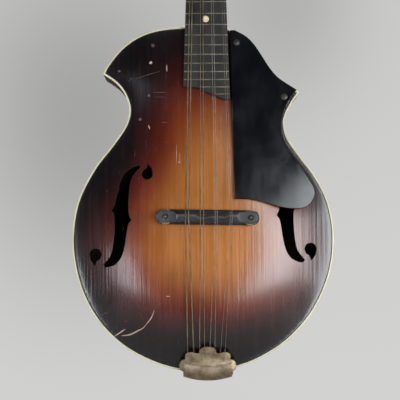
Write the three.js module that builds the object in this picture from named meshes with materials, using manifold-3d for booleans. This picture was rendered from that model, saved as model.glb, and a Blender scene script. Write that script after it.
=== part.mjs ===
// Carved f-hole mandolin with two body points, built as separate pieces.
// Millimetres. +X treble side, -Y the front (strings), +Z up along the neck.
// Heights along Z are measured from the nut; the group's origin is the place on the
// back of the neck, level with the nut, where a wall hanger holds the instrument.
import * as THREE from 'three';
import { mergeVertices } from 'three/addons/utils/BufferGeometryUtils.js';
import Module from 'manifold-3d';

const wasm = await Module();
wasm.setup();

// ---------------------------------------------------------------- driving dimensions
const GAP = 0.3;                     // clearance kept between touching pieces
const SCALE_LENGTH = 352.4;          // 13 7/8 in
const NECK_TILT = THREE.MathUtils.degToRad(5);
const HEAD_TILT = THREE.MathUtils.degToRad(13);
const HANGER_Y = 21.4;               // depth of the neck's back at the nut, below the rim plane

// body: the rim's front plane is y = 0
const RIM_DEPTH = 44;
const PLATE = 4;                     // thickness of top and back at their edges
const TOP_ARCH = 12;
const BACK_ARCH = 11;
const BINDING = 2.2;
const RIB = 2.3;

// neck and fingerboard, in the tilted neck frame (y = 0 is the fingerboard's face)
const BOARD_FACE_Y = 1.42;           // where the face's plane meets z = 0
const BOARD_THICK = 5.4;
const NUT_HALF = 14.3;
const BOARD_TAPER = 0.0285;          // half-width gained for each mm from the nut
const NUT_LONG = 4.5;
const HEEL_FACE_Z = -175.1;
const HEAD_ORIGIN = [0, 3.2, 5.1];
const VENEER = 2;
const HEAD_THICK = 13;

// tuners, in the headstock frame (y = 0 is the veneer's face)
const POST_X = 18.5;
const POST_Z = [28, 51, 74, 97];
const POST_RADIUS = 2.9;
const WORM_DROP = 8.6;               // worm axis below its post, along z
const PLATE_BACK = VENEER + HEAD_THICK + 2 * GAP;

// strings: name, x at the nut, x at the saddle, x at the tailpiece, radius, post (side, row)
const STRINGS = [
  ['g1', -11.7, -19.5, -18.2, 0.5, -1, 0],
  ['g2', -9.7, -16.7, -12.6, 0.5, -1, 1],
  ['d1', -4.6, -6.1, -7.4, 0.33, -1, 2],
  ['d2', -2.6, -3.2, -2.8, 0.33, -1, 3],
  ['a1', 2.6, 7.2, 1.8, 0.2, 1, 3],
  ['a2', 4.6, 9.1, 6.4, 0.2, 1, 2],
  ['e1', 9.7, 20.6, 11.6, 0.14, 1, 1],
  ['e2', 11.7, 22.4, 15.8, 0.14, 1, 0],
];

// bridge
const BRIDGE_Z = -352.9;
const BRIDGE_X = 0.5;
const BRIDGE_TURN = THREE.MathUtils.degToRad(1);
const BRIDGE_HALF = 47;
const POST_HALF = 38.5;
const BASE_TOP_Y = -22.4;
const WHEEL_FRONT_Y = -26.8;
const WHEEL_THICK = 2.2;
const SADDLE_BACK_Y = -27.1;
const SADDLE_TOP_Y = -32.6;

// tailpiece
const TAIL_Z = -494;
const COVER_FRONT_Y = -17;
const HOOK_Z = -481;
const PIN_Y = RIM_DEPTH / 2;

// ---------------------------------------------------------------- outlines (x, z)
const upperBout = [
  [-96.5, -220.8], [-90.6, -210], [-79.4, -196.3], [-65, -185.4], [-47, -178.6],
  [-23, -175.8], [0, -175.6], [20, -177.6], [32, -182.6], [42, -190.6], [50, -202],
  [60, -217.5], [71, -228], [86, -237.3],
];
const lowerBout = [
  [86, -237.3], [79.4, -246.6], [73.8, -257.5], [72, -266.5], [75.2, -279.9],
  [86.5, -296.7], [99.1, -313.5], [110.8, -335.8], [116.4, -362], [115.5, -391],
  [107.6, -419], [91.7, -446.6], [66, -471.3], [32, -488.4], [-5.3, -494],
  [-40, -488.8], [-73, -473.4], [-97.4, -451.3], [-114, -423.6], [-122.8, -392],
  [-123.8, -362.6], [-118.2, -334.8], [-104, -307], [-86.9, -284.8], [-75, -267],
  [-71.5, -253], [-74.4, -241], [-79.6, -232.6], [-87, -226], [-96.5, -220.8],
];

const vec2 = (pairs) => pairs.map(([a, b]) => new THREE.Vector2(a, b));
const spline = (pairs, count) => new THREE.SplineCurve(vec2(pairs)).getSpacedPoints(count);

// closed outline, clockwise: from the bass point over the neck end to the treble point, then
// round the lower bout; the two points stay sharp
const UPPER_STEPS = 26;
const LOWER_STEPS = 58;
const upperPoints = spline(upperBout, UPPER_STEPS);
const lowerPoints = spline(lowerBout, LOWER_STEPS);
const bodyOutline = [...upperPoints.slice(0, -1), ...lowerPoints.slice(0, -1)];

// moves a closed clockwise polygon inwards by a distance, with mitred corners
function inset(points, distance) {
  const count = points.length;
  return points.map((point, i) => {
    const before = point.clone().sub(points[(i + count - 1) % count]).normalize();
    const after = points[(i + 1) % count].clone().sub(point).normalize();
    const normalA = new THREE.Vector2(before.y, -before.x);
    const normalB = new THREE.Vector2(after.y, -after.x);
    const mitre = normalA.clone().add(normalB).normalize();
    return point.clone().addScaledVector(mitre, distance / Math.max(0.35, mitre.dot(normalA)));
  });
}

// smooth distance from the edge: exact beside a straight edge, level in the middle
function edgeDistance(x, z) {
  let sum = 0;
  bodyOutline.forEach((point, i) => {
    const next = bodyOutline[(i + 1) % bodyOutline.length];
    const dx = (point.x + next.x) / 2 - x;
    const dz = (point.y + next.y) / 2 - z;
    const away = Math.max(2, Math.hypot(dx, dz));
    sum += point.distanceTo(next) / away ** 3;
  });
  return Math.sqrt(2 / sum);
}

const FLAT_EDGE = 4;
const CROWN_DISTANCE = 64;
// in the lower bout the arch rises at once from its narrow flat edge and levels out towards the
// crown; in the upper bout it starts more gently
function archShare(x, z) {
  const share = (edgeDistance(x, z) - FLAT_EDGE) / (CROWN_DISTANCE - FLAT_EDGE);
  const t = Math.min(1, Math.max(0, share));
  const power = 2 - 0.75 * THREE.MathUtils.smoothstep(-z, 250, 310);
  return Math.sin((Math.PI / 2) * t) ** power;
}
const topFront = (x, z) => -PLATE - TOP_ARCH * archShare(x, z);
const topInside = (x, z) => -TOP_ARCH * archShare(x, z);
const backInside = (x, z) => RIM_DEPTH + BACK_ARCH * archShare(x, z);
const backFace = (x, z) => RIM_DEPTH + PLATE + BACK_ARCH * archShare(x, z);

// ---------------------------------------------------------------- geometry helpers
function outward(geometry) {
  const p = geometry.attributes.position;
  const index = geometry.index.array;
  const [a, b, c] = [new THREE.Vector3(), new THREE.Vector3(), new THREE.Vector3()];
  let volume = 0;
  for (let i = 0; i < index.length; i += 3) {
    a.fromBufferAttribute(p, index[i]);
    b.fromBufferAttribute(p, index[i + 1]);
    c.fromBufferAttribute(p, index[i + 2]);
    volume += a.dot(b.cross(c));
  }
  if (volume < 0) {
    for (let i = 0; i < index.length; i += 3) {
      [index[i], index[i + 1]] = [index[i + 1], index[i]];
    }
  }
  return geometry;
}

function indexed(vertices, faces) {
  const geometry = new THREE.BufferGeometry();
  geometry.setAttribute('position', new THREE.Float32BufferAttribute(vertices.flat(), 3));
  geometry.setIndex(faces.flat());
  return outward(geometry);
}

function welded(geometry) {
  const copy = geometry.clone();
  copy.deleteAttribute('normal');
  copy.deleteAttribute('uv');
  return outward(mergeVertices(copy, 1e-4));
}

// joins equal rings of points into one closed skin with fanned ends
function skin(rings) {
  const count = rings[0].length;
  const vertices = rings.flat();
  const faces = [];
  for (let r = 0; r < rings.length - 1; r += 1) {
    for (let i = 0; i < count; i += 1) {
      const a = r * count + i;
      const b = r * count + ((i + 1) % count);
      faces.push([a, b, b + count], [a, b + count, a + count]);
    }
  }
  [[rings[0], 0, 1], [rings.at(-1), (rings.length - 1) * count, -1]].forEach(([ring, start, way]) => {
    const middle = [0, 1, 2].map((k) => ring.reduce((sum, point) => sum + point[k], 0) / count);
    vertices.push(middle);
    const hub = vertices.length - 1;
    for (let i = 0; i < count; i += 1) {
      const pair = [start + ((i + 1) % count), start + i];
      faces.push(way > 0 ? [hub, ...pair] : [hub, ...pair.reverse()]);
    }
  });
  return indexed(vertices, faces);
}

const shapeOf = (points, holes = []) => {
  const shape = new THREE.Shape(THREE.ShapeUtils.isClockWise(points) ? points.toReversed() : points);
  holes.forEach((hole) => shape.holes.push(new THREE.Path(hole)));
  return shape;
};

const TURN_TO_X = new THREE.Matrix4().set(0, 0, 1, 0, 1, 0, 0, 0, 0, 1, 0, 0, 0, 0, 0, 1);

// prism on an outline across the axis: 'y' takes (x, z), 'x' takes (y, z), 'z' takes (x, y)
function prism(points, axis, from, to, holes = [], steps = 1) {
  const geometry = new THREE.ExtrudeGeometry(shapeOf(points, holes), {
    depth: to - from, bevelEnabled: false, steps, curveSegments: 1,
  });
  if (axis === 'y') {
    geometry.rotateX(Math.PI / 2);
    geometry.translate(0, to, 0);
  } else if (axis === 'x') {
    geometry.applyMatrix4(TURN_TO_X);
    geometry.translate(from, 0, 0);
  } else {
    geometry.translate(0, 0, from);
  }
  return welded(geometry);
}

function box(x0, x1, y0, y1, z0, z1) {
  const geometry = new THREE.BoxGeometry(x1 - x0, y1 - y0, z1 - z0);
  geometry.translate((x0 + x1) / 2, (y0 + y1) / 2, (z0 + z1) / 2);
  return welded(geometry);
}

// lathe turned about an axis through the origin; profile pairs are (radius, height)
function turned(profile, sides, axis = 'y') {
  const geometry = new THREE.LatheGeometry(vec2(profile), sides);
  if (axis === 'x') {
    geometry.rotateZ(-Math.PI / 2);
  } else if (axis === 'z') {
    geometry.rotateX(Math.PI / 2);
  }
  return welded(geometry);
}

function rod(radius, y0, y1, sides) {
  return turned([[0, y0], [radius, y0], [radius, y1], [0, y1]], sides);
}

function solid(geometry) {
  const vertProperties = new Float32Array(geometry.attributes.position.array);
  const triVerts = new Uint32Array(geometry.index.array);
  return new wasm.Manifold(new wasm.Mesh({ numProp: 3, vertProperties, triVerts }));
}

function geometryOf(manifold) {
  const { vertProperties, triVerts } = manifold.getMesh();
  const geometry = new THREE.BufferGeometry();
  geometry.setAttribute('position', new THREE.BufferAttribute(new Float32Array(vertProperties), 3));
  geometry.setIndex(Array.from(triVerts));
  return outward(geometry);
}

const cut = (geometry, ...tools) => geometryOf(
  tools.reduce((left, tool) => left.subtract(solid(tool)), solid(geometry)),
);
const join = (geometry, ...others) => geometryOf(
  others.reduce((sum, other) => sum.add(solid(other)), solid(geometry)),
);
const common = (geometry, other) => geometryOf(solid(geometry).intersect(solid(other)));

// ---------------------------------------------------------------- scene graph
const group = new THREE.Group();
const instrument = new THREE.Group();
instrument.position.set(0, -HANGER_Y, 0);
group.add(instrument);

const neckFrame = new THREE.Group();
neckFrame.position.set(0, BOARD_FACE_Y, 0);
neckFrame.rotation.x = -NECK_TILT;
instrument.add(neckFrame);

const headFrame = new THREE.Group();
headFrame.position.set(...HEAD_ORIGIN);
headFrame.rotation.x = -HEAD_TILT;
neckFrame.add(headFrame);

const bridgeFrame = new THREE.Group();
bridgeFrame.position.set(BRIDGE_X, 0, BRIDGE_Z);
bridgeFrame.rotation.y = BRIDGE_TURN;
instrument.add(bridgeFrame);

const material = (color, roughness, metalness = 0) => new THREE.MeshStandardMaterial({
  color, roughness, metalness,
});
const spruce = material('#8a4a22', 0.35);
const maple = material('#4a2412', 0.35);
const darkMaple = material('#241410', 0.35);
const plainWood = material('#b08a5c', 0.8);
const cream = material('#e6dcae', 0.5);
const ebony = material('#26252a', 0.55);
const blackPlastic = material('#121318', 0.12);
const nickel = material('#9a988a', 0.32, 1);
const steel = material('#b9b9bd', 0.3, 1);
const bronze = material('#b49a68', 0.35, 1);
const bone = material('#e8e2cf', 0.45);
const pearloid = material('#efe9d8', 0.35);

function add(parent, name, geometry, look) {
  const mesh = new THREE.Mesh(geometry, look);
  mesh.name = name;
  parent.add(mesh);
  return mesh;
}

// ---------------------------------------------------------------- carved plates
// spans of an outline at one height: the outermost crossings on each side
function spanAt(outline, z) {
  let left = Infinity;
  let right = -Infinity;
  outline.forEach((a, i) => {
    const b = outline[(i + 1) % outline.length];
    if ((a.y - z) * (b.y - z) <= 0 && a.y !== b.y) {
      const x = a.x + ((b.x - a.x) * (z - a.y)) / (b.y - a.y);
      left = Math.min(left, x);
      right = Math.max(right, x);
    }
  });
  return [left, right];
}

const ROWS = 26;
const COLUMNS = 12;
const POINT_ROWS = [-222, -225, -239];  // extra rows beside the body's two points
function carvedPlate(frontOf, backOf) {
  const outline = inset(bodyOutline, 1);
  const top = Math.max(...outline.map((p) => p.y)) - 0.05;
  const bottom = Math.min(...outline.map((p) => p.y)) + 0.05;
  const heights = [];
  for (let r = 0; r <= ROWS; r += 1) {
    const v = r / ROWS;
    const eased = 0.35 * v + 0.65 * (0.5 - 0.5 * Math.cos(Math.PI * v));
    heights.push(top + (bottom - top) * eased);
  }
  heights.push(...POINT_ROWS);
  heights.sort((a, b) => b - a);
  const vertices = [];
  const faces = [];
  const width = COLUMNS + 1;
  [frontOf, backOf].forEach((surface) => {
    heights.forEach((z) => {
      const [left, right] = spanAt(outline, z);
      for (let c = 0; c <= COLUMNS; c += 1) {
        const u = c / COLUMNS;
        const eased = 0.6 * u + 0.4 * (0.5 - 0.5 * Math.cos(Math.PI * u));
        const x = left + (right - left) * eased;
        vertices.push([x, surface(x, z), z]);
      }
    });
  });
  const rows = heights.length;
  const at = (side, r, c) => side * rows * width + r * width + c;
  const quad = (a, b, c, d) => faces.push([a, b, c], [a, c, d]);
  for (let r = 0; r < rows - 1; r += 1) {
    for (let c = 0; c < COLUMNS; c += 1) {
      quad(at(0, r, c), at(0, r + 1, c), at(0, r + 1, c + 1), at(0, r, c + 1));
      quad(at(1, r, c), at(1, r, c + 1), at(1, r + 1, c + 1), at(1, r + 1, c));
    }
    quad(at(0, r, 0), at(1, r, 0), at(1, r + 1, 0), at(0, r + 1, 0));
    quad(at(0, r + 1, COLUMNS), at(1, r + 1, COLUMNS), at(1, r, COLUMNS), at(0, r, COLUMNS));
  }
  for (let c = 0; c < COLUMNS; c += 1) {
    quad(at(0, 0, c), at(0, 0, c + 1), at(1, 0, c + 1), at(1, 0, c));
    quad(at(0, rows - 1, c + 1), at(0, rows - 1, c), at(1, rows - 1, c), at(1, rows - 1, c + 1));
  }
  const trim = prism(inset(bodyOutline, BINDING + GAP), 'y', -40, 70);
  return common(indexed(vertices, faces), trim);
}

// f-hole: a long stem with pointed wings and two eyes shaped like commas, on the bass side; the
// treble one is its mirror image, cut a little higher
const stem = [
  [-61.8, -304.9], [-70.6, -308.2], [-75.9, -313], [-80, -321.8], [-82.6, -333], [-84.9, -342.2],
  [-87, -345.5], [-84.6, -351.4], [-84.6, -366.2], [-86.1, -380.2], [-88.5, -388], [-94.5, -395.5],
  [-92.7, -397.8], [-85, -395.7], [-79.4, -390], [-75.9, -380.2], [-73, -362.7], [-71.6, -357.8],
  [-69.5, -355], [-71.6, -349.4], [-71.9, -338.1], [-70.8, -324], [-68.7, -316.2], [-63, -308.3], [-60.8, -306.8],
];
const TREBLE_MIRROR = -5.6;          // x of a bass point plus x of its treble twin
const TREBLE_RISE = 3.9;
// centre, radius and way of the tail for the upper and the lower eye of each side
const EYES = {
  bass: [[-54.5, -312.8, 4.9, 1], [-102.2, -387.9, 5.5, -1]],
  treble: [[48.9, -308.9, 4.9, 1], [95.8, -382.9, 5.5, -1]],
};
// a disc with a tail that leaves its side and ends in a point beyond its middle
const COMMA_TAIL = [[-0.85, -0.75], [-0.55, -1.38], [-0.12, -1.85], [0.02, -1.45], [0.2, -1.08]];
function comma([x, z, radius, way], side) {
  const disc = [-60, -25, 10, 45, 80, 115, 150, 185].map((degrees) => {
    const angle = THREE.MathUtils.degToRad(degrees);
    return [Math.cos(angle), Math.sin(angle)];
  });
  return [...disc, ...COMMA_TAIL].map(([u, v]) => new THREE.Vector2(
    x + side * way * radius * u,
    z - way * radius * v,
  ));
}
function soundHoles(side) {
  const shifted = ([x, z]) => (side < 0 ? [x, z] : [TREBLE_MIRROR - x, z + TREBLE_RISE]);
  const eyes = EYES[side < 0 ? 'bass' : 'treble'].map((eye) => comma(eye, side));
  return [vec2(stem.map(shifted)), ...eyes].map((outline) => prism(outline, 'y', -30, 5));
}

const carvedTop = carvedPlate(topFront, topInside);
add(instrument, 'top_plate', cut(carvedTop, ...soundHoles(-1), ...soundHoles(1)), spruce);
add(instrument, 'back_plate', carvedPlate(backInside, backFace), maple);

// ---------------------------------------------------------------- binding and rim
const bindingRing = (from, to) => prism(bodyOutline, 'y', from, to, [inset(bodyOutline, BINDING)]);
add(instrument, 'top_binding', bindingRing(-PLATE, 0), cream);
add(instrument, 'back_binding', bindingRing(RIM_DEPTH, RIM_DEPTH + PLATE), cream);

// ribs: bent strips that meet at the horns, at the tail and beside the neck's tenon
const pinBore = (radius) => turned([[0, -510], [radius, -510], [radius, -480], [0, -480]], 12, 'z')
  .translate(0, PIN_Y, 0);
const SEAM = 0.06;                   // share of an outline step left open at each end of a rib
function rib(from, to) {
  const between = bodyOutline.map((_, i) => i).filter((i) => i > from && i < to);
  const places = [from, ...between, to];
  const strip = (distance) => {
    const closed = inset(bodyOutline, distance);
    return places.map((place) => {
      const start = closed[Math.floor(place)];
      return start.clone().lerp(closed[(Math.floor(place) + 1) % closed.length], place % 1);
    });
  };
  const blank = prism([...strip(0.4), ...strip(0.4 + RIB).reverse()], 'y', GAP, RIM_DEPTH - GAP);
  return cut(blank, pinBore(4.6));
}
// place on the outline, counted in its steps, where it first crosses x after a given step
function crossing(x, after) {
  const before = bodyOutline.findIndex((p, i) => {
    const next = bodyOutline[(i + 1) % bodyOutline.length];
    return i >= after && (p.x - x) * (next.x - x) <= 0;
  });
  const [a, b] = [bodyOutline[before], bodyOutline[before + 1]];
  return before + (x - a.x) / (b.x - a.x);
}
const TENON_SIDE = 9.5;
const tailSeam = crossing(0, UPPER_STEPS);
add(instrument, 'rib_upper_bass', rib(SEAM, crossing(-TENON_SIDE, 0)), darkMaple);
add(instrument, 'rib_upper_treble', rib(crossing(TENON_SIDE, 0), UPPER_STEPS - SEAM), darkMaple);
add(instrument, 'rib_lower_treble', rib(UPPER_STEPS + SEAM, tailSeam - SEAM / 2), darkMaple);
add(instrument, 'rib_lower_bass', rib(tailSeam + SEAM / 2, bodyOutline.length - SEAM), darkMaple);

// blocks inside the rim
const INSIDE_FRONT = 0.4;
const INSIDE_BACK = RIM_DEPTH - 0.4;
const tenon = (grow) => box(-8 - grow, 8 + grow, 0.7 - grow, 40 + grow, -189 - grow, HEEL_FACE_Z + 1);
const neckBlock = prism(
  vec2([[-34, -181.2], [-8, -179.4], [18, -181.4], [29, -185.2], [29, -204], [-34, -204]]),
  'y', INSIDE_FRONT, INSIDE_BACK,
);
add(instrument, 'neck_block', cut(neckBlock, tenon(GAP)), plainWood);
const tailBlock = prism(
  vec2([[-34, -486.2], [-20, -488.8], [-5.3, -489.8], [9, -488.9], [23, -487], [23, -474], [-34, -474]]),
  'y', INSIDE_FRONT, INSIDE_BACK,
);
add(instrument, 'tail_block', cut(tailBlock, pinBore(4.4)), plainWood);
add(instrument, 'horn_block_bass', prism(
  vec2([[-83, -224.5], [-87.2, -213.4], [-78, -202.5], [-66, -214], [-76.4, -229.5]]),
  'y', INSIDE_FRONT, INSIDE_BACK,
), plainWood);
add(instrument, 'horn_block_treble', prism(
  vec2([[75.2, -240.5], [70, -247.6], [60, -238], [57.6, -223], [64.5, -229.5]]),
  'y', INSIDE_FRONT, INSIDE_BACK,
), plainWood);

// tone bars glued lengthwise under the top, their upper faces fitted to its arch
function toneBar(x, lean) {
  const rings = [];
  for (let k = 0; k <= 8; k += 1) {
    const z = -245 - k * 22;
    const middle = x + lean * (z + 333);
    const tall = 2 + 8 * Math.sin((Math.PI * k) / 8) ** 0.7;
    const ring = [-3, 3].map((dx) => [middle + dx, topInside(middle + dx, z) + 0.45, z]);
    rings.push([...ring, [middle + 2.4, ring[1][1] + tall, z], [middle - 2.4, ring[0][1] + tall, z]]);
  }
  return skin(rings);
}
add(instrument, 'tone_bar_bass', toneBar(-30, -0.06), plainWood);
add(instrument, 'tone_bar_treble', toneBar(29, 0.06), plainWood);

// ---------------------------------------------------------------- neck
const boardHalf = (z) => NUT_HALF + BOARD_TAPER * Math.abs(Math.min(0, z));
const NECK_FRONT = BOARD_THICK + GAP;

// D-shaped section of the neck: z, depth, fullness of the curve, slant of the plane, front
function neckSection([z, depth, power, slant = 0, front = NECK_FRONT]) {
  const half = boardHalf(z);
  return Array.from({ length: 13 }, (_, k) => {
    const angle = (Math.PI * k) / 12;
    const c = Math.cos(angle);
    const x = half * Math.sign(c) * Math.abs(c) ** power;
    const y = front + depth * Math.sin(angle) ** power;
    return [x, y, z + slant * y];
  });
}
const facePlane = Math.tan(NECK_TILT);
const faceZ = HEEL_FACE_Z / Math.cos(NECK_TILT);
const shaft = skin([
  [12, 9, 0.9, 0, 8.2], [5, 12.6, 0.85], [-6, 14, 0.85], [-70, 14.8, 0.85], [-130, 16, 0.85],
  [-148, 18.6, 0.8, 0.02], [-158, 24, 0.75, 0.04], [-165, 33, 0.7, 0.06],
  [-170.5, 43, 0.65, 0.075], [faceZ, 51.6, 0.6, facePlane],
].map(neckSection));

const tilted = (geometry) => {
  const matrix = new THREE.Matrix4().makeRotationX(NECK_TILT);
  matrix.multiply(new THREE.Matrix4().makeTranslation(0, -BOARD_FACE_Y, 0));
  return geometry.applyMatrix4(matrix);
};

// tongue that carries the fingerboard over the top, fitted to the arch with a small gap
const boardBack = (z) => BOARD_FACE_Y + z * facePlane + (BOARD_THICK + GAP) / Math.cos(NECK_TILT);
const tongueEnd = -212;
const tongueRings = [-170, -176, -184, -193, -203, tongueEnd].map((z) => {
  const under = z > -178 ? -PLATE - 0.6 : Math.min(topFront(0, z), topFront(-6, z)) - 0.5;
  const front = Math.min(boardBack(z), under - 0.8);
  const half = boardHalf(z) - 1;
  return [[-half, front, z], [half, front, z], [half, under, z], [-half, under, z]];
});
const tongue = skin(tongueRings);

const headOutline = (grow = 0) => {
  const right = spline([
    [14.6, 0.4], [15.6, 8], [21.5, 16], [29.5, 23], [32.6, 33], [31.8, 60], [30, 90],
    [29, 110], [26, 120], [19, 122.5], [12, 126], [6, 131], [0, 133],
  ], 16);
  const left = right.slice(0, -1).reverse().map((p) => new THREE.Vector2(-p.x, p.y));
  return [...right, ...left].map((p) => new THREE.Vector2(p.x * (1 - grow / 30), p.y));
};
const postHoles = (radius, from, to) => [-1, 1].flatMap((side) => POST_Z.map((z) => {
  const hole = rod(radius, from, to, 10);
  return hole.translate(side * POST_X, 0, z);
}));
const headBlank = cut(
  prism(headOutline(), 'y', VENEER + GAP, VENEER + GAP + HEAD_THICK),
  ...postHoles(POST_RADIUS + 0.5, 0, 20),
);
const headMatrix = new THREE.Matrix4().makeTranslation(...HEAD_ORIGIN)
  .multiply(new THREE.Matrix4().makeRotationX(-HEAD_TILT));
headBlank.applyMatrix4(headMatrix);

const ROD_HALF = 3;
const rodChannel = box(-ROD_HALF - GAP, ROD_HALF + GAP, 0, 13.4, -168, 30);
const neckWood = cut(
  join(shaft, tilted(tongue), tilted(tenon(0)), headBlank),
  rodChannel,
);
add(neckFrame, 'neck', neckWood, darkMaple);
add(neckFrame, 'truss_rod', box(-ROD_HALF, ROD_HALF, 7, 13, -166, 6), steel);
add(instrument, 'heel_cap', prism(vec2([
  [-13, -175.3], [-12.4, -171.5], [-9, -167.6], [-4, -165.8],
  [4, -165.8], [9, -167.6], [12.4, -171.5], [13, -175.3],
]), 'y', RIM_DEPTH + 0.2, RIM_DEPTH + PLATE - 0.4), ebony);

// fingerboard: straight taper ending in an S-curve, longer on the treble side
const boardEnd = spline([
  [-21.1, -234.4], [-9, -235], [-4.5, -236.8], [0.4, -239.4], [6.8, -242], [12, -244.6],
  [16.5, -246], [21.3, -246.4],
], 12);
const board = prism(
  [new THREE.Vector2(NUT_HALF, -0.3), new THREE.Vector2(-NUT_HALF, -0.3), ...boardEnd],
  'y', 0, BOARD_THICK,
);
add(neckFrame, 'fingerboard', board, ebony);
add(neckFrame, 'nut', prism(vec2([
  [-1.1, 0.1], [-0.7, NUT_LONG - 0.4], [1.4, NUT_LONG], [BOARD_THICK, NUT_LONG], [BOARD_THICK, 0.1],
]), 'x', -NUT_HALF, NUT_HALF), bone);

// ---------------------------------------------------------------- headstock and tuners
add(headFrame, 'headstock_veneer', cut(
  prism(headOutline(0.4), 'y', 0, VENEER), ...postHoles(POST_RADIUS + 0.5, -5, 5),
), blackPlastic);
add(headFrame, 'truss_rod_cover', prism(vec2([
  [-7, 7], [7, 7], [6.6, 16], [3.6, 25], [0, 29], [-3.6, 25], [-6.6, 16],
]), 'y', -1.8, -GAP), blackPlastic);

const GEAR_FRONT = PLATE_BACK + 1.2 + GAP;
const WORM_Y = GEAR_FRONT + 2.6;
const lathed = (profile, x, z) => turned(profile, 12).translate(x, 0, z);
function tunerPlate(side) {
  const inner = POST_X - 7;
  const outer = POST_X + 7;
  const pieces = [];
  POST_Z.forEach((z) => {
    [[inner + 0.4, inner + 2], [outer - 2, outer - 0.4]].forEach(([a, b]) => {
      pieces.push(box(a, b, PLATE_BACK + 0.6, WORM_Y + 2.8, z - WORM_DROP - 3, z - WORM_DROP + 3));
    });
  });
  const plate = join(box(inner, outer, PLATE_BACK, PLATE_BACK + 1.2, 14, 106), ...pieces);
  const bores = POST_Z.map((z) => turned([[0, -30], [2, -30], [2, 60], [0, 60]], 8, 'x')
    .translate(0, WORM_Y, z - WORM_DROP));
  const holes = POST_Z.map((z) => rod(POST_RADIUS + 0.4, 0, 30, 12).translate(POST_X, 0, z));
  const made = cut(plate, ...bores, ...holes);
  return side > 0 ? made : outward(made.scale(-1, 1, 1));
}
function tunerKey() {
  const spindle = turned([
    [0, 13.2], [1.6, 13.2], [1.6, 14.2], [2.5, 14.8], [2.5, 22.6], [1.6, 23.2], [1.6, 33.6],
    [2.6, 34], [2.6, 35.6], [1.6, 36], [1.6, 39], [0, 39],
  ], 8, 'x');
  const button = new THREE.SphereGeometry(1, 10, 6);
  button.scale(6.6, 3.9, 7.2);
  button.translate(43.2, 0, 0);
  return join(spindle, welded(button));
}
const POST_PROFILE = [
  [0, -16.5], [2.2, -16.5], [POST_RADIUS, -15.6], [POST_RADIUS, GEAR_FRONT], [5.6, GEAR_FRONT],
  [5.6, GEAR_FRONT + 4.8], [0, GEAR_FRONT + 4.8],
];
[['bass', -1], ['treble', 1]].forEach(([sideName, side]) => {
  add(headFrame, `tuner_plate_${sideName}`, tunerPlate(side), nickel);
  POST_Z.forEach((z, row) => {
    const key = tunerKey();
    const placed = side > 0 ? key : outward(key.scale(-1, 1, 1));
    const keyMesh = add(headFrame, `tuner_key_${sideName}_${row + 1}`, placed, pearloid);
    keyMesh.position.set(0, WORM_Y, z - WORM_DROP);
    add(headFrame, `string_post_${sideName}_${row + 1}`, lathed(POST_PROFILE, side * POST_X, z), nickel);
  });
});

// ---------------------------------------------------------------- strings
function wire(points, radius) {
  const rings = points.map((point, i) => {
    const before = points[Math.max(0, i - 1)];
    const after = points[Math.min(points.length - 1, i + 1)];
    const along = after.clone().sub(before).normalize();
    const across = new THREE.Vector3(1, 0, 0);
    const up = across.clone().cross(along).normalize();
    across.crossVectors(along, up);
    return Array.from({ length: 6 }, (_, k) => {
      const angle = (Math.PI * k) / 3;
      return point.clone().addScaledVector(across, radius * Math.cos(angle))
        .addScaledVector(up, radius * Math.sin(angle)).toArray();
    });
  });
  return skin(rings);
}
const NUT_TOP = -1.1;
const WRAP_Y = -9;
group.updateMatrixWorld(true);
const toInstrument = (frame, ...place) => (
  instrument.worldToLocal(frame.localToWorld(new THREE.Vector3(...place)))
);
STRINGS.forEach(([name, nutX, saddleX, tailX, radius, side, row]) => {
  const clear = radius + GAP;
  const postX = side * (POST_X - POST_RADIUS - clear);
  const points = [
    toInstrument(headFrame, postX, WRAP_Y, POST_Z[row] + 3),
    toInstrument(headFrame, postX, WRAP_Y, POST_Z[row]),
    toInstrument(neckFrame, nutX, NUT_TOP - clear + 0.2, NUT_LONG - 0.3),
    toInstrument(neckFrame, nutX, NUT_TOP - clear, 0),
    new THREE.Vector3(saddleX, SADDLE_TOP_Y - clear, BRIDGE_Z + 3.2),
    new THREE.Vector3(saddleX, SADDLE_TOP_Y - clear, BRIDGE_Z - 4.9),
    new THREE.Vector3(tailX, -10.2, HOOK_Z + 3),
    new THREE.Vector3(tailX, -10, HOOK_Z + 1),
  ];
  const wound = 'gd'.includes(name[0]);
  add(instrument, `string_${name}`, wire(points, radius), wound ? bronze : steel);
});

// ---------------------------------------------------------------- bridge
const stadium = (half, radius, count) => {
  const end = (sign) => Array.from({ length: count + 1 }, (_, i) => {
    const angle = -Math.PI / 2 + (Math.PI * i) / count;
    const reach = half - radius + radius * Math.cos(angle);
    return new THREE.Vector2(sign * reach, sign * radius * Math.sin(angle));
  });
  return [...end(1), ...end(-1)];
};
const footBack = (x) => topFront(x + BRIDGE_X, BRIDGE_Z) - 0.5;
const footXs = [17, 24, 32, 40, BRIDGE_HALF];
const baseProfile = vec2([
  [-BRIDGE_HALF, BASE_TOP_Y + 1.5], [-43, BASE_TOP_Y], [-31, BASE_TOP_Y], [-26, BASE_TOP_Y - 1.4],
  [26, BASE_TOP_Y - 1.4], [31, BASE_TOP_Y], [43, BASE_TOP_Y], [BRIDGE_HALF, BASE_TOP_Y + 1.5],
  ...footXs.toReversed().map((x) => [x, footBack(x)]), [13, -19.4], [-13, -19.4],
  ...footXs.map((x) => [-x, footBack(-x)]),
]);
const post = (radius, from, to, x, sides = 10) => rod(radius, from, to, sides).translate(x, 0, 0);
const bothPosts = (radius, from, to) => [-POST_HALF, POST_HALF].map((x) => post(radius, from, to, x));
add(bridgeFrame, 'bridge_base', cut(
  common(prism(baseProfile, 'z', -7, 7), prism(stadium(BRIDGE_HALF, 6.8, 6), 'y', -40, 0)),
  ...bothPosts(2.2, -40, -17.7),
), ebony);

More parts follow.
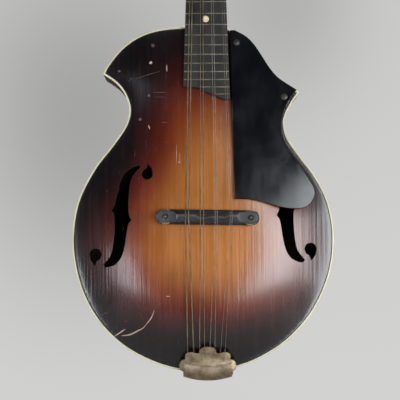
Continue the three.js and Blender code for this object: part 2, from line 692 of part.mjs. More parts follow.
const saddleProfile = vec2([
  [-46, SADDLE_BACK_Y], [-46, -29.8], [-44.8, -31], [-31, -31.2], [-27, SADDLE_TOP_Y],
  [27, SADDLE_TOP_Y], [31, -31.2], [44.8, -31], [46, -29.8], [46, SADDLE_BACK_Y],
]);
const saddleFoot = vec2([
  [-40.5, -5.6], [-46, 0], [-44.4, 3.9], [-40.5, 5.6], [-34, 5.4], [-29, 4], [-28.6, 2.4],
  [15.6, 2.4], [16, 4], [34, 5.4], [40.5, 5.6], [44.4, 3.9], [46, 0], [44.4, -3.9],
  [40.5, -5.6], [34, -5.2], [20, -4], [-20, -4], [-34, -5.2],
]);
add(bridgeFrame, 'bridge_saddle', cut(
  common(prism(saddleProfile, 'z', -8, 8), prism(saddleFoot, 'y', -40, 0)),
  ...bothPosts(2.3, -40, -20),
), ebony);
[['bass', -POST_HALF], ['treble', POST_HALF]].forEach(([name, x]) => {
  add(bridgeFrame, `bridge_post_${name}`, post(1.9, -31.9, -18, x), steel);
  const wheel = cut(rod(7.7, WHEEL_FRONT_Y, WHEEL_FRONT_Y + WHEEL_THICK, 20), rod(2.3, -40, 0, 10));
  add(bridgeFrame, `thumbwheel_${name}`, wheel.translate(x, 0, 0), nickel);
});

// ---------------------------------------------------------------- tailpiece
const BASE_HALF = 19;
const BASE_BACK_Y = -6.7;
const BASE_THICK = 1.2;
const tailEdge = (x) => TAIL_Z + (x + 4) ** 2 / 240;
const tailArc = (half, away) => Array.from({ length: 9 }, (_, i) => {
  const x = -half + (half * i) / 4;
  return new THREE.Vector2(x, tailEdge(x) - away);
});
const flatPart = prism(
  [...tailArc(BASE_HALF, 1.7), new THREE.Vector2(BASE_HALF, -478.4), new THREE.Vector2(-BASE_HALF, -478.4)],
  'y', BASE_BACK_Y - BASE_THICK, BASE_BACK_Y,
);
const bentPart = common(
  prism([...tailArc(16, 1.7), ...tailArc(16, 0.5).reverse()], 'y', BASE_BACK_Y - BASE_THICK, 38),
  prism(vec2([
    [-16, -9], [16, -9], [16, 3], [10, 12], [9, 32], [4, 38], [-4, 38], [-9, 32], [-10, 12], [-16, 3],
  ]), 'z', -510, -460),
);
const hookRail = box(-BASE_HALF + 1, BASE_HALF - 1, -9.2, BASE_BACK_Y - 1, HOOK_Z - 2, HOOK_Z);
add(instrument, 'tailpiece_base', cut(join(flatPart, bentPart, hookRail), pinBore(4.7)), nickel);
add(instrument, 'end_pin', turned([
  [0, -503.2], [4.4, -503.2], [5.6, -502], [5.4, -500], [3.6, -498.6], [3.6, -498], [5.4, -497.3],
  [5.4, -496.2], [4, -496.2], [4, -484.6], [0, -484.6],
].toReversed(), 12, 'z').translate(0, PIN_Y, 0), ebony);

// cover: a cloud-shaped lid whose lower end turns down over the tail as a skirt
const COVER_THICK = 1;
const SKIRT_HALF = 22.2;
const skirtZ = (x) => TAIL_Z - 6.6 + 3.6 * (x / SKIRT_HALF) ** 2;
const cloudHalf = [
  [0, -470.2], [3.6, -470.6], [6.6, -472.6], [7.7, -475.6], [11, -476.4], [15, -475.2],
  [19, -475.8], [20.8, -478.4], [20.4, -481.4], [22.6, -482], [25, -484], [25.8, -487.4],
  [25.2, -490.4], [22.6, -492], [SKIRT_HALF - 0.2, -493.4],
];
const lidEnd = [16, 8, 0, -8, -16].map((x) => [x, skirtZ(x) + 3]);
const cloud = vec2([
  ...cloudHalf, ...lidEnd, ...cloudHalf.slice(1).reverse().map(([x, z]) => [-x, z]),
]);
const lid = prism(cloud, 'y', COVER_FRONT_Y, COVER_FRONT_Y + COVER_THICK);
const skirtProfile = vec2([
  [-16.9, 6], [-16.9, 3], [-16.4, 1.5], [-15.2, 0.4], [-13.4, 0], [4, 0],
  [4, 1], [-13.2, 1], [-14.6, 1.3], [-15.6, 2.1], [-16.1, 3.4], [-16.1, 6],
]);
const skirt = prism(skirtProfile, 'x', -SKIRT_HALF, SKIRT_HALF, [], 8);
const skirtPoints = skirt.attributes.position;
for (let i = 0; i < skirtPoints.count; i += 1) {
  skirtPoints.setZ(i, skirtPoints.getZ(i) + skirtZ(skirtPoints.getX(i)));
}
add(instrument, 'tailpiece_cover', join(lid, skirt), nickel);

// ---------------------------------------------------------------- pickguard
// a flat plate whose front leans away from the top towards the body's lower end
const GUARD_TILT = 0.0576;
const GUARD_THICK = 1.8;
const GUARD_NUT_Y = -3.13;           // where its front plane would cross z = 0
const guardFront = (z) => GUARD_NUT_Y + z * GUARD_TILT;
const guardFrame = new THREE.Group();
guardFrame.position.set(0, GUARD_NUT_Y, 0);
guardFrame.rotation.x = -Math.atan(GUARD_TILT);
instrument.add(guardFrame);
const guardRight = spline([
  [26, -180.9], [35.8, -186.3], [43.1, -193.4], [50.4, -204.2], [57.6, -215.8], [65, -224.7],
  [73, -230.6], [82.6, -236.8],
], 14);
const guardLower = spline([
  [82.6, -236.8], [75.4, -246], [70, -257.5], [68, -269.6], [70.6, -283.4], [78.7, -297.2],
  [89, -312.6], [97.6, -328], [96.4, -337.6], [89.3, -344.5], [78.3, -345.7], [66.1, -344.1],
  [52, -339.8], [38, -337.2], [25, -337.2],
], 26);
const guard = prism([
  new THREE.Vector2(21.9, -181), ...guardRight.slice(0, -1), ...guardLower,
  new THREE.Vector2(23, -246),
], 'y', 0, GUARD_THICK);
const SCREWS = [['upper', 27.8, -192.7], ['horn', 71, -243.4]];
const screwHoles = SCREWS.map(([, x, z]) => rod(1.8, -5, 5, 10).translate(x, 0, z));
add(guardFrame, 'pickguard', cut(guard, ...screwHoles), blackPlastic);
SCREWS.forEach(([name, x, z]) => {
  const stop = topFront(x, z) - guardFront(z) - 0.6;
  const screw = turned([[0, -1], [2.6, -0.9], [3, -GAP], [1.5, -GAP], [1.5, stop], [0, stop]], 12);
  add(guardFrame, `pickguard_screw_${name}`, screw.translate(x, 0, z), nickel);
});
const guardBlockFront = guardFront(-322) + GUARD_THICK + 0.5;
const guardBlockBack = topFront(74, -330) - 0.4;
add(instrument, 'pickguard_block', box(74, 84, guardBlockFront, guardBlockBack, -330, -316), ebony);

export default group;
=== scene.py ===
import math
import random

import bmesh
import bpy
import numpy as np
from mathutils import Matrix, Vector
from mathutils.geometry import delaunay_2d_cdt


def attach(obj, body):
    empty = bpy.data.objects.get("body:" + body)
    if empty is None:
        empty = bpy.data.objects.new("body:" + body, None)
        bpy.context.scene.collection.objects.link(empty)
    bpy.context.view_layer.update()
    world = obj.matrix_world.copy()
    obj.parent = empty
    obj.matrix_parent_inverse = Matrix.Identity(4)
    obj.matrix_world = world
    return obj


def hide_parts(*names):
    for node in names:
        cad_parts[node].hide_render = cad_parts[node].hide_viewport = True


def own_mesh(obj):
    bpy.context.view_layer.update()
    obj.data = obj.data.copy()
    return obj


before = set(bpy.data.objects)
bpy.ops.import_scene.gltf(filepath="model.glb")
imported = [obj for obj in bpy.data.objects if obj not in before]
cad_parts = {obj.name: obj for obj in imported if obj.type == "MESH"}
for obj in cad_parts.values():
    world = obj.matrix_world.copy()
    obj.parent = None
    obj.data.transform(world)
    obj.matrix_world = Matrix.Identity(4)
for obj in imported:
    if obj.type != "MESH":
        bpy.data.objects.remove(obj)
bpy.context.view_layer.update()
random.seed(7)

# ------------------------------------------------------------------ dimensions, millimetres
# Frame of the numbers: x to the treble side, y from the front of the body to its back, z up
# from the nut; y = 0 is the front of the rim. BODY moves them into the row frame.
SCALE_LENGTH = 352.4
RIM_DEPTH = 44
PLATE = 4
TOP_ARCH = 12
BACK_ARCH = 11
WAIST_Z = -250
ARCH_START = 2.4
ARCH_RUN = 61.6
BINDING = 1.6
LINE = 0.8
NUT_HALF = 14.3
BOARD_TAPER = 0.0285
BOARD_THICK = 5.4
NECK_Y = 1.42
BRIDGE_X = 0.5
BRIDGE_Z = -352.9
BRIDGE_POST_X = 38.5
SADDLE_TOP_Y = -32.6
TAIL_Z = -494
HOOK_Y = -10.2
HOOK_Z = -481
PIN_Y = 22
POST_X = 18.5
POST_Z = (28, 51, 74, 97)
POST_WAIST = 2.2
WRAP_Y = -11.4
WRAPS, WRAP_STEPS = 3.6, 24
WORM_DROP = 8.6
WORM_Y = 19.7
GEAR_FRONT = 17.1
PLATE_BACK = 15.6
GUARD_Y = -3.13
GUARD_SLOPE = 0.0576
MARK_LIFT = 0.045

UPPER_BOUT = [
    (-95.8, -219.4), (-90.6, -210), (-79.4, -196.3), (-65, -185.4), (-47, -178.6),
    (-23, -175.8), (0, -175.6), (20, -177.6), (32, -182.6), (42, -190.6), (50, -202),
    (60, -217.5), (71, -228), (86, -237.3),
]
LOWER_BOUT = [
    (86, -237.3), (79.4, -246.6), (73.8, -257.5), (72, -266.5), (75.2, -279.9),
    (86.5, -296.7), (99.1, -313.5), (110.8, -335.8), (116.4, -362), (115.5, -391),
    (107.6, -419), (91.7, -446.6), (66, -471.3), (32, -488.4), (-5.3, -494),
    (-40, -488.8), (-73, -473.4), (-97.4, -451.3), (-114, -423.6), (-122.8, -392),
    (-123.8, -362.6), (-118.2, -334.8), (-104, -307), (-86.9, -284.8), (-75, -267),
    (-71.5, -253), (-74.4, -241), (-79.8, -232), (-87, -225.2), (-95.8, -219.4),
]
# the bass f-hole: each run is smooth, with a corner where one run meets the next
STEM_RUNS = [
    [(-61.8, -304.9), (-66, -305.8), (-70.6, -308.2), (-75.9, -313), (-80, -321.8), (-82.6, -333),
     (-84.9, -342.2), (-87.4, -345.5)],
    [(-87.4, -345.5), (-84.6, -351.4), (-84.6, -366.2), (-86.1, -380.2), (-88.5, -388),
     (-94.5, -395.5)],
    [(-94.5, -395.5), (-92.7, -397.8), (-85, -395.7), (-79.4, -390), (-75.9, -380.2),
     (-73, -362.7), (-71.6, -357.8), (-69.2, -355)],
    [(-69.2, -355), (-71.6, -349.4), (-71.9, -338.1), (-70.8, -324), (-68.7, -316.2),
     (-66.2, -312), (-63, -308.3), (-60.8, -306.8)],
    [(-60.8, -306.8), (-61, -305.8), (-61.8, -304.9)],
]
# eyes of the f-holes for each side: centre, radius, way of the tail
EYES = {
    -1: [((-54.5, -312.8), 4.9, 1), ((-102.2, -386.3), 5.4, -1)],
    1: [((48.9, -308.9), 4.9, 1), ((94.6, -381.9), 5.4, -1)],
}
# the treble f-hole is the bass one mirrored: x becomes TREBLE_MIRROR - x
TREBLE_MIRROR = -5.6
TREBLE_RISE = 3.9

# name, x at the nut, at the saddle, at the tailpiece, radius, side and row of its post
STRINGS = [
    ("g1", -11.7, -19.5, -18.2, 0.5, -1, 0), ("g2", -9.7, -16.7, -12.6, 0.5, -1, 1),
    ("d1", -4.6, -6.1, -7.4, 0.33, -1, 2), ("d2", -2.6, -3.2, -2.8, 0.33, -1, 3),
    ("a1", 2.6, 7.2, 1.8, 0.2, 1, 3), ("a2", 4.6, 9.1, 6.4, 0.2, 1, 2),
    ("e1", 9.7, 20.6, 11.6, 0.14, 1, 1), ("e2", 11.7, 22.4, 15.8, 0.14, 1, 0),
]

NECK_TILT = math.radians(5)
HEAD_TILT = math.radians(13)
GUARD_TILT = math.atan(GUARD_SLOPE)


def moved(x, y, z):
    return Matrix.Translation((x, y, z))


BODY = moved(0, -21.4, 0)
NECK = BODY @ moved(0, NECK_Y, 0) @ Matrix.Rotation(-NECK_TILT, 4, "X")
HEAD = NECK @ moved(0, 3.2, 5.1) @ Matrix.Rotation(-HEAD_TILT, 4, "X")
BRIDGE = BODY @ moved(BRIDGE_X, 0, BRIDGE_Z) @ Matrix.Rotation(math.radians(1), 4, "Y")
GUARD = BODY @ moved(0, GUARD_Y, 0) @ Matrix.Rotation(-GUARD_TILT, 4, "X")


# ------------------------------------------------------------------ outlines
def resampled(line, count):
    """A line divided into count equal steps."""
    steps = np.hypot(*np.diff(line, axis=0).T)
    length = np.concatenate([[0], np.cumsum(steps)])
    places = np.linspace(0, length[-1], count + 1)
    return np.column_stack([np.interp(places, length, line[:, k]) for k in (0, 1)])


def smooth_line(points, count):
    """A Catmull-Rom curve through the points, in count equal steps."""
    p = np.array(points, float)
    last = len(p) - 1
    t = np.linspace(0, 1, 40, endpoint=False)[:, None]
    parts = []
    for i in range(last):
        before, a, b, after = p[max(i - 1, 0)], p[i], p[i + 1], p[min(i + 2, last)]
        go_a, go_b = (b - before) / 2, (after - a) / 2
        parts.append(
            (2 * a - 2 * b + go_a + go_b) * t**3
            + (-3 * a + 3 * b - 2 * go_a - go_b) * t**2 + go_a * t + a
        )
    return resampled(np.vstack([*parts, p[-1:]]), count)


def shifted(line, distance):
    """A line moved to its right-hand side, which is inwards on a clockwise outline."""
    along = np.gradient(line, axis=0)
    along /= np.hypot(*along.T)[:, None]
    return line + distance * np.column_stack([along[:, 1], -along[:, 0]])


def trimmed(first, second):
    """Cuts the end of one line and the start of the next where they cross."""
    reach = 70
    for i in range(len(first) - 2, len(first) - reach, -1):
        a, b = first[i], first[i + 1]
        for j in range(reach):
            c, d = second[j], second[j + 1]
            way, other = b - a, d - c
            turn = way[0] * other[1] - way[1] * other[0]
            if abs(turn) < 1e-12:
                continue
            s = ((c - a)[0] * other[1] - (c - a)[1] * other[0]) / turn
            u = ((c - a)[0] * way[1] - (c - a)[1] * way[0]) / turn
            if 0 <= s <= 1 and 0 <= u <= 1:
                corner = a + s * way
                return np.vstack([first[: i + 1], corner]), np.vstack([corner, second[j + 1:]])
    return first, second


UPPER_COUNT, LOWER_COUNT = 170, 430
UPPER_LINE = smooth_line(UPPER_BOUT, 2 * UPPER_COUNT)
LOWER_LINE = smooth_line(LOWER_BOUT, 2 * LOWER_COUNT)


def body_ring(distance):
    """The body's outline moved inwards, with sharp points; the same count at any distance."""
    upper, lower = shifted(UPPER_LINE, distance), shifted(LOWER_LINE, distance)
    if distance > 0:
        upper, lower = trimmed(upper, lower)
        lower, upper = trimmed(lower, upper)
    upper, lower = resampled(upper, UPPER_COUNT), resampled(lower, LOWER_COUNT)
    return np.vstack([upper[:-1], lower[:-1]])


RIM = body_ring(0)
RIM_MIDDLES = (RIM + np.roll(RIM, -1, 0)) / 2
RIM_STEPS = np.hypot(*(np.roll(RIM, -1, 0) - RIM).T)


def arch_share(points):
    """0 on the flat edge of the carving, 1 on its crown."""
    away = np.sqrt(((points[:, None, :] - RIM_MIDDLES[None]) ** 2).sum(2))
    edge = np.sqrt(2 / (RIM_STEPS / np.maximum(2, away) ** 3).sum(1))
    # the carving rises more quickly in the lower bout, which starts at the waist
    lower = np.clip((WAIST_Z - points[:, 1]) / 60, 0, 1)
    power = 2 - 0.75 * lower**2 * (3 - 2 * lower)
    return np.sin(np.pi / 2 * np.clip((edge - ARCH_START) / ARCH_RUN, 0, 1)) ** power


def front_y(points):
    """The carved front's y at each (x, z)."""
    return -PLATE - TOP_ARCH * arch_share(np.atleast_2d(np.array(points, float)))


def inside(points, loop):
    """Which points lie in a closed loop."""
    x, z = points[:, 0][:, None], points[:, 1][:, None]
    a, b = loop, np.roll(loop, -1, 0)
    spans = (a[:, 1] > z) != (b[:, 1] > z)
    rise = np.where(b[:, 1] == a[:, 1], 1e-9, b[:, 1] - a[:, 1])
    left = x < (b[:, 0] - a[:, 0]) * (z - a[:, 1]) / rise + a[:, 0]
    return (spans & left).sum(1) % 2 == 1


# ------------------------------------------------------------------ mesh builders
def rings_skin(rings, caps=True):
    """Skin over equal closed rings; caps fill the two ends."""
    count = len(rings[0])
    points = [tuple(p) for ring in rings for p in ring]
    faces = []
    for r in range(len(rings) - 1):
        for i in range(count):
            a, b = r * count + i, r * count + (i + 1) % count
            faces.append((a, b, b + count, a + count))
    if caps:
        faces.append(tuple(range(count))[::-1])
        faces.append(tuple(range((len(rings) - 1) * count, len(rings) * count)))
    return points, faces


def turn_steps(count):
    """Even angles round a full turn."""
    return [2 * math.pi * k / count for k in range(count)]


def prism(outline, low, high, axis="y"):
    """Prism on an outline: (x, z) across y, (y, z) across x, (x, y) across z."""
    place = {
        "y": lambda p, h: (p[0], h, p[1]),
        "x": lambda p, h: (h, p[0], p[1]),
        "z": lambda p, h: (p[0], p[1], h),
    }[axis]
    return rings_skin([[place(p, h) for p in outline] for h in (low, high)])


def lathe(profile, sides, axis="y", centre=(0, 0, 0)):
    """Profile pairs are (radius, height); the ends close on the axis."""
    rings = []
    for radius, height in profile:
        ring = []
        for a in turn_steps(sides):
            u, v = radius * math.cos(a), radius * math.sin(a)
            turned = {"y": (u, height, v), "x": (height, u, v), "z": (u, v, height)}[axis]
            ring.append(tuple(c + t for c, t in zip(centre, turned)))
        rings.append(ring)
    return rings_skin(rings)


def tube(path, radii, sides=8):
    """Round tube along a path of points."""
    path = [Vector(p) for p in path]
    if not hasattr(radii, "__len__"):
        radii = [radii] * len(path)
    rings = []
    across = Vector((1, 0, 0))
    for i, point in enumerate(path):
        along = (path[min(i + 1, len(path) - 1)] - path[max(i - 1, 0)]).normalized()
        across = (across - along * across.dot(along)).normalized()
        up = along.cross(across)
        rings.append([
            point + radii[i] * (across * math.cos(a) + up * math.sin(a)) for a in turn_steps(sides)
        ])
    return rings_skin(rings)


def merged(*parts):
    """Several parts, each (points, faces), as one."""
    points, faces = [], []
    for some_points, some_faces in parts:
        start = len(points)
        points += list(some_points)
        faces += [tuple(i + start for i in face) for face in some_faces]
    return points, faces


def placed(part, matrix):
    points, faces = part
    return [tuple(matrix @ Vector(p)) for p in points], faces


def in_frame(points, at):
    """Points moved by a matrix, as an array."""
    matrix = np.array(at)
    return np.array([tuple(p) for p in points], float) @ matrix[:3, :3].T + matrix[:3, 3]


def piece(name, part, look, at=BODY, body="instrument", bevel=0.0, crease=35, stands_for=(),
          bevel_angle=40):
    """A mesh object in the row frame, riding on a body."""
    mesh = bpy.data.meshes.new(name)
    mesh.from_pydata(in_frame(part[0], at).tolist(), [], part[1])
    bm = bmesh.new()
    bm.from_mesh(mesh)
    bmesh.ops.remove_doubles(bm, verts=bm.verts, dist=1e-4)
    bmesh.ops.recalc_face_normals(bm, faces=bm.faces)
    if bevel:
        sharp = math.radians(bevel_angle)
        edges = [e for e in bm.edges if len(e.link_faces) == 2 and e.calc_face_angle() > sharp]
        bmesh.ops.bevel(bm, geom=edges, offset=bevel, segments=2, profile=0.5,
                        affect="EDGES", clamp_overlap=True)
    bmesh.ops.scale(bm, vec=(0.001, 0.001, 0.001), verts=bm.verts)
    bm.to_mesh(mesh)
    bm.free()
    mesh.shade_smooth()
    mesh.set_sharp_from_angle(angle=math.radians(crease))
    return show(name, mesh, look, body, stands_for)


def show(name, mesh, look, body="instrument", stands_for=()):
    made = bpy.data.objects.new(name, mesh)
    bpy.context.scene.collection.objects.link(made)
    mesh.materials.append(look)
    if body:
        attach(made, body)
    if stands_for:
        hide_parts(*stands_for)
    return made


# ------------------------------------------------------------------ materials
def rgb(red, green, blue):
    """A colour given as sRGB bytes, as the shader's linear values."""
    def linear(value):
        value /= 255
        return value / 12.92 if value <= 0.04045 else ((value + 0.055) / 1.055) ** 2.4
    return (linear(red), linear(green), linear(blue), 1.0)


class Nodes:
    """Short ways to add to a node tree; a value is a constant or another node's output."""

    def __init__(self, tree):
        self.tree = tree

    def feed(self, socket, value):
        if isinstance(value, bpy.types.NodeSocket):
            self.tree.links.new(value, socket)
        else:
            socket.default_value = value

    def node(self, kind, *values, **options):
        made = self.tree.nodes.new("ShaderNode" + kind)
        for key, value in options.items():
            setattr(made, key, value)
        for socket, value in zip(made.inputs, values):
            if value is not None:
                self.feed(socket, value)
        return made

    def math(self, how, a, b=0.0):
        return self.node("Math", a, b, operation=how).outputs[0]

    def squares(self, a, b):
        """The sum of two squares."""
        return self.math("ADD", self.math("MULTIPLY", a, a), self.math("MULTIPLY", b, b))

    def weighted(self, a, share_a, b, share_b):
        return self.math("ADD", self.math("MULTIPLY", a, share_a),
                         self.math("MULTIPLY", b, share_b))

    def span(self, value, low, high, to_low=0.0, to_high=1.0, kind="LINEAR"):
        return self.node("MapRange", value, low, high, to_low, to_high,
                         clamp=True, interpolation_type=kind).outputs[0]


class Look(Nodes):
    """A procedural material, built node by node."""

    def __init__(self, name, **fixed):
        self.material = bpy.data.materials.new(name)
        self.material.use_nodes = True
        super().__init__(self.material.node_tree)
        self.skin = self.tree.nodes["Principled BSDF"]
        self.set(**fixed)
        self.place = self.node("TexCoord").outputs["Object"]

    def set(self, **values):
        for key, value in values.items():
            self.feed(self.skin.inputs[key.replace("_", " ")], value)

    def noise(self, scales, detail=3.0, rough=0.55, twist=0.0):
        stretch = self.node("VectorMath", self.place, scales, operation="MULTIPLY")
        made = self.node("TexNoise", stretch.outputs[0])
        for key, value in (("Scale", 1.0), ("Detail", detail), ("Roughness", rough),
                           ("Distortion", twist)):
            made.inputs[key].default_value = value
        return made.outputs[0]

    def axes(self):
        return self.node("SeparateXYZ", self.place).outputs

    def ramp(self, value, stops):
        made = self.node("ValToRGB", value)
        bands = made.color_ramp.elements
        while len(bands) < len(stops):
            bands.new(0.5)
        for band, (position, colour) in zip(bands, stops):
            band.position = position
            band.color = colour
        return made.outputs[0]

    def blend(self, share, a, b, how="MIX"):
        made = self.node("Mix", data_type="RGBA", blend_type=how)
        self.feed(made.inputs[0], share)
        self.feed(made.inputs[6], a)
        self.feed(made.inputs[7], b)
        return made.outputs[2]

    def tinted(self, colour, value, stops):
        """The colour times a ramp."""
        return self.blend(1.0, colour, self.ramp(value, stops), "MULTIPLY")

    def stained(self, colour, stain, value, low, high, share):
        """The colour with a stain that comes in, up to its share, between low and high."""
        return self.blend(self.span(value, low, high, 0.0, share), colour, stain)

    def bumps(self, *layers):
        """Bumps on top of each other, the lowest first; each is (height, depth in mm)."""
        below = None
        for height, depth in layers:
            made = self.node("Bump")
            made.inputs["Strength"].default_value = 1.0
            made.inputs["Distance"].default_value = depth * 0.001
            self.feed(made.inputs["Height"], height)
            if below:
                self.feed(made.inputs["Normal"], below)
            below = made.outputs[0]
        return below

    def finish(self, colour, rough, *layers):
        """Colour, roughness as the arguments of a span, and bumps; gives the material."""
        self.set(Base_Color=colour, Roughness=self.span(*rough), Normal=self.bumps(*layers))
        return self.material


# shader lengths are metres in the row frame
BURST_Z = -0.345
WRAP_PITCH = 0.00032


def spruce_look():
    """Sunburst: amber under the bridge, red-brown round it, nearly black at the edge."""
    look = Look("spruce_sunburst", Coat_Weight=0.3, Coat_Roughness=0.13, Coat_IOR=1.5,
                Specular_IOR_Level=0.4)
    x, _, z = look.axes()
    half = look.span(z, -0.385, -0.285, 0.084, 0.055, kind="SMOOTHSTEP")
    centre = look.span(z, -0.380, -0.290, 0.0, 0.009)
    side = look.math("DIVIDE", look.math("SUBTRACT", x, centre), half)
    down = look.math("DIVIDE", look.math("SUBTRACT", BURST_Z, z), 0.090)
    down = look.math("MAXIMUM", down, 0.0)
    up = look.math("DIVIDE", look.math("SUBTRACT", z, BURST_Z), 0.112)
    up = look.math("MAXIMUM", up, 0.0)
    end = look.math("ADD", look.math("POWER", down, 1.6), up)
    reach = look.math("SQRT", look.squares(side, end))
    cloud = look.noise((14, 14, 9), detail=2.0)
    reach = look.math("ADD", reach, look.span(cloud, 0.3, 0.7, -0.07, 0.07))
    burst = look.ramp(look.math("DIVIDE", reach, 2.0), [
        (0.0, rgb(162, 101, 40)), (0.22, rgb(156, 94, 35)), (0.34, rgb(133, 73, 26)),
        (0.44, rgb(107, 46, 18)), (0.54, rgb(78, 24, 12)), (0.64, rgb(48, 13, 11)),
        (0.76, rgb(22, 8, 11)), (0.9, rgb(11, 6, 9)),
    ])
    fine = look.noise((1500, 120, 9), detail=4.0)
    broad = look.noise((520, 60, 4))
    patch = look.noise((38, 38, 22), detail=4.0)
    colour = look.tinted(burst, fine, [
        (0.30, (0.86, 0.84, 0.82, 1)), (0.52, (1, 1, 1, 1)), (0.72, (1.08, 1.07, 1.03, 1)),
    ])
    colour = look.tinted(colour, broad, [
        (0.32, (0.90, 0.88, 0.86, 1)), (0.5, (1, 1, 1, 1)), (0.68, (1.07, 1.06, 1.04, 1)),
    ])
    colour = look.tinted(colour, patch, [
        (0.30, (0.88, 0.86, 0.85, 1)), (0.65, (1.06, 1.06, 1.06, 1)),
    ])
    haze = look.noise((300, 60, 22), detail=6.0, rough=0.7)
    colour = look.stained(colour, rgb(104, 70, 60), haze, 0.62, 0.82, 0.14)
    streak = look.noise((300, 45, 6))
    worn = look.weighted(patch, 0.5, streak, 0.5)
    grain = look.bumps((streak, 0.10), (broad, 0.10), (fine, 0.02))
    look.set(Base_Color=colour, Roughness=look.span(worn, 0.35, 0.65, 0.19, 0.31), Normal=grain,
             Coat_Normal=grain)
    return look.material


def maple_look(name, dark, middle, light, burst=False):
    """Flamed maple: bands across the grain that shift with a slow noise."""
    look = Look(name, Coat_Weight=0.3, Coat_Roughness=0.12)
    wander = look.noise((16, 16, 16), detail=2.0)
    flame = look.noise((26, 26, 150), twist=0.6)
    pores = look.noise((900, 900, 24))
    value = look.weighted(flame, 0.75, wander, 0.25)
    colour = look.ramp(value, [(0.34, dark), (0.5, middle), (0.66, light)])
    colour = look.tinted(colour, pores, [(0.3, (0.72, 0.7, 0.68, 1)), (0.55, (1, 1, 1, 1))])
    if burst:
        x, _, z = look.axes()
        side = look.math("DIVIDE", x, 0.105)
        end = look.math("DIVIDE", look.math("SUBTRACT", z, BURST_Z), 0.125)
        reach = look.math("SQRT", look.squares(side, end))
        colour = look.blend(look.span(reach, 0.55, 1.1, 0.0, 1.0, "SMOOTHSTEP"), colour,
                            rgb(33, 19, 15))
    return look.finish(colour, (wander, 0.3, 0.7, 0.24, 0.4), (flame, 0.05), (pores, 0.012))


def raw_wood_look(name, low, high, stain):
    look = Look(name, Roughness=0.85, Specular_IOR_Level=0.25)
    rings = look.noise((700, 60, 8))
    dirt = look.noise((40, 40, 40), detail=4.0)
    colour = look.ramp(rings, [(0.3, low), (0.6, high)])
    colour = look.stained(colour, stain, dirt, 0.4, 0.7, 0.6)
    look.set(Base_Color=colour, Normal=look.bumps((rings, 0.03)))
    return look.material


def binding_look():
    look = Look("aged_binding", Coat_Weight=0.2, Coat_Roughness=0.2)
    age = look.noise((30, 30, 30), detail=4.0)
    grime = look.noise((420, 420, 420), detail=5.0, rough=0.7)
    colour = look.ramp(age, [(0.3, rgb(180, 172, 136)), (0.7, rgb(202, 196, 170))])
    colour = look.stained(colour, rgb(130, 112, 74), grime, 0.55, 0.8, 0.45)
    return look.finish(colour, (grime, 0.3, 0.7, 0.32, 0.5), (grime, 0.02))


def dark_wood_look(name, low, high, dust, rough=0.5, dusty=0.35):
    """Ebonised hardwood with long pores and dust lying in them."""
    look = Look(name, Specular_IOR_Level=0.28)
    pores = look.noise((900, 900, 40), detail=4.0)
    streak = look.noise((240, 60, 9))
    patch = look.noise((60, 60, 45), detail=5.0, rough=0.65)
    colour = look.ramp(streak, [(0.3, low), (0.7, high)])
    colour = look.stained(colour, dust, patch, 0.35, 0.75, dusty)
    colour = look.blend(look.span(pores, 0.3, 0.42, 0.55, 0.0), colour, rgb(14, 13, 13))
    return look.finish(colour, (patch, 0.3, 0.7, rough - 0.1, rough + 0.15), (streak, 0.03),
                       (pores, 0.05))


def plastic_look(name, base):
    """Polished black plastic with hairline scratches and a little dust."""
    look = Look(name)
    hairs = look.noise((1800, 300, 60), twist=1.2)
    crossed = look.noise((80, 300, 1700), twist=1.2)
    wave = look.noise((24, 24, 18), detail=1.0)
    dust = look.noise((800, 800, 800), detail=6.0, rough=0.75)
    smear = look.noise((55, 55, 30), detail=4.0)
    colour = look.stained(base, rgb(88, 90, 96), dust, 0.64, 0.82, 0.2)
    return look.finish(colour, (smear, 0.3, 0.7, 0.09, 0.22), (wave, 0.35),
                       (look.math("ADD", hairs, crossed), 0.006))


def metal_look(name, clean, dull, rough=0.3, grime=rgb(64, 52, 40), worn=0.5, brush=(60, 60, 900)):
    """Plated or plain metal: brushed, with tarnish in patches."""
    look = Look(name, Metallic=1.0)
    lines = look.noise(brush)
    cloud = look.noise((110, 110, 110), detail=5.0, rough=0.6)
    speck = look.noise((900, 900, 900), detail=4.0)
    colour = look.ramp(cloud, [(0.35, dull), (0.62, clean)])
    colour = look.stained(colour, grime, speck, 0.58, 0.75, worn)
    return look.finish(colour, (cloud, 0.3, 0.7, rough + 0.12, rough - 0.06), (cloud, 0.04),
                       (lines, 0.008))


def bone_look(name, light, dark):
    look = Look(name, Subsurface_Weight=0.05)
    grain = look.noise((500, 500, 90), detail=4.0)
    stain = look.noise((90, 90, 90), detail=4.0)
    colour = look.ramp(stain, [(0.3, dark), (0.65, light)])
    colour = look.stained(colour, rgb(150, 128, 92), grain, 0.6, 0.75, 0.4)
    return look.finish(colour, (grain, 0.3, 0.7, 0.3, 0.45), (grain, 0.01))


def pearl_look(name, warm, cool):
    look = Look(name, Coat_Weight=0.5, Coat_Roughness=0.08)
    swirl = look.noise((260, 260, 200), twist=2.5)
    age = look.noise((70, 70, 70))
    colour = look.ramp(swirl, [(0.3, cool), (0.5, warm), (0.7, rgb(244, 238, 214))])
    colour = look.stained(colour, rgb(196, 176, 120), age, 0.45, 0.75, 0.35)
    return look.finish(colour, (swirl, 0.3, 0.7, 0.16, 0.32), (swirl, 0.01))


def wound_look():
    """Bronze wrap wire: close turns along the string."""
    look = Look("wound_bronze", Metallic=1.0)
    z = look.axes()[2]
    turns = look.math("SINE", look.math("MULTIPLY", z, 2 * math.pi / WRAP_PITCH))
    stain = look.noise((120, 120, 60), detail=4.0)
    colour = look.ramp(stain, [(0.35, rgb(104, 96, 80)), (0.65, rgb(148, 139, 118))])
    return look.finish(colour, (stain, 0.3, 0.7, 0.55, 0.42), (turns, 0.05))


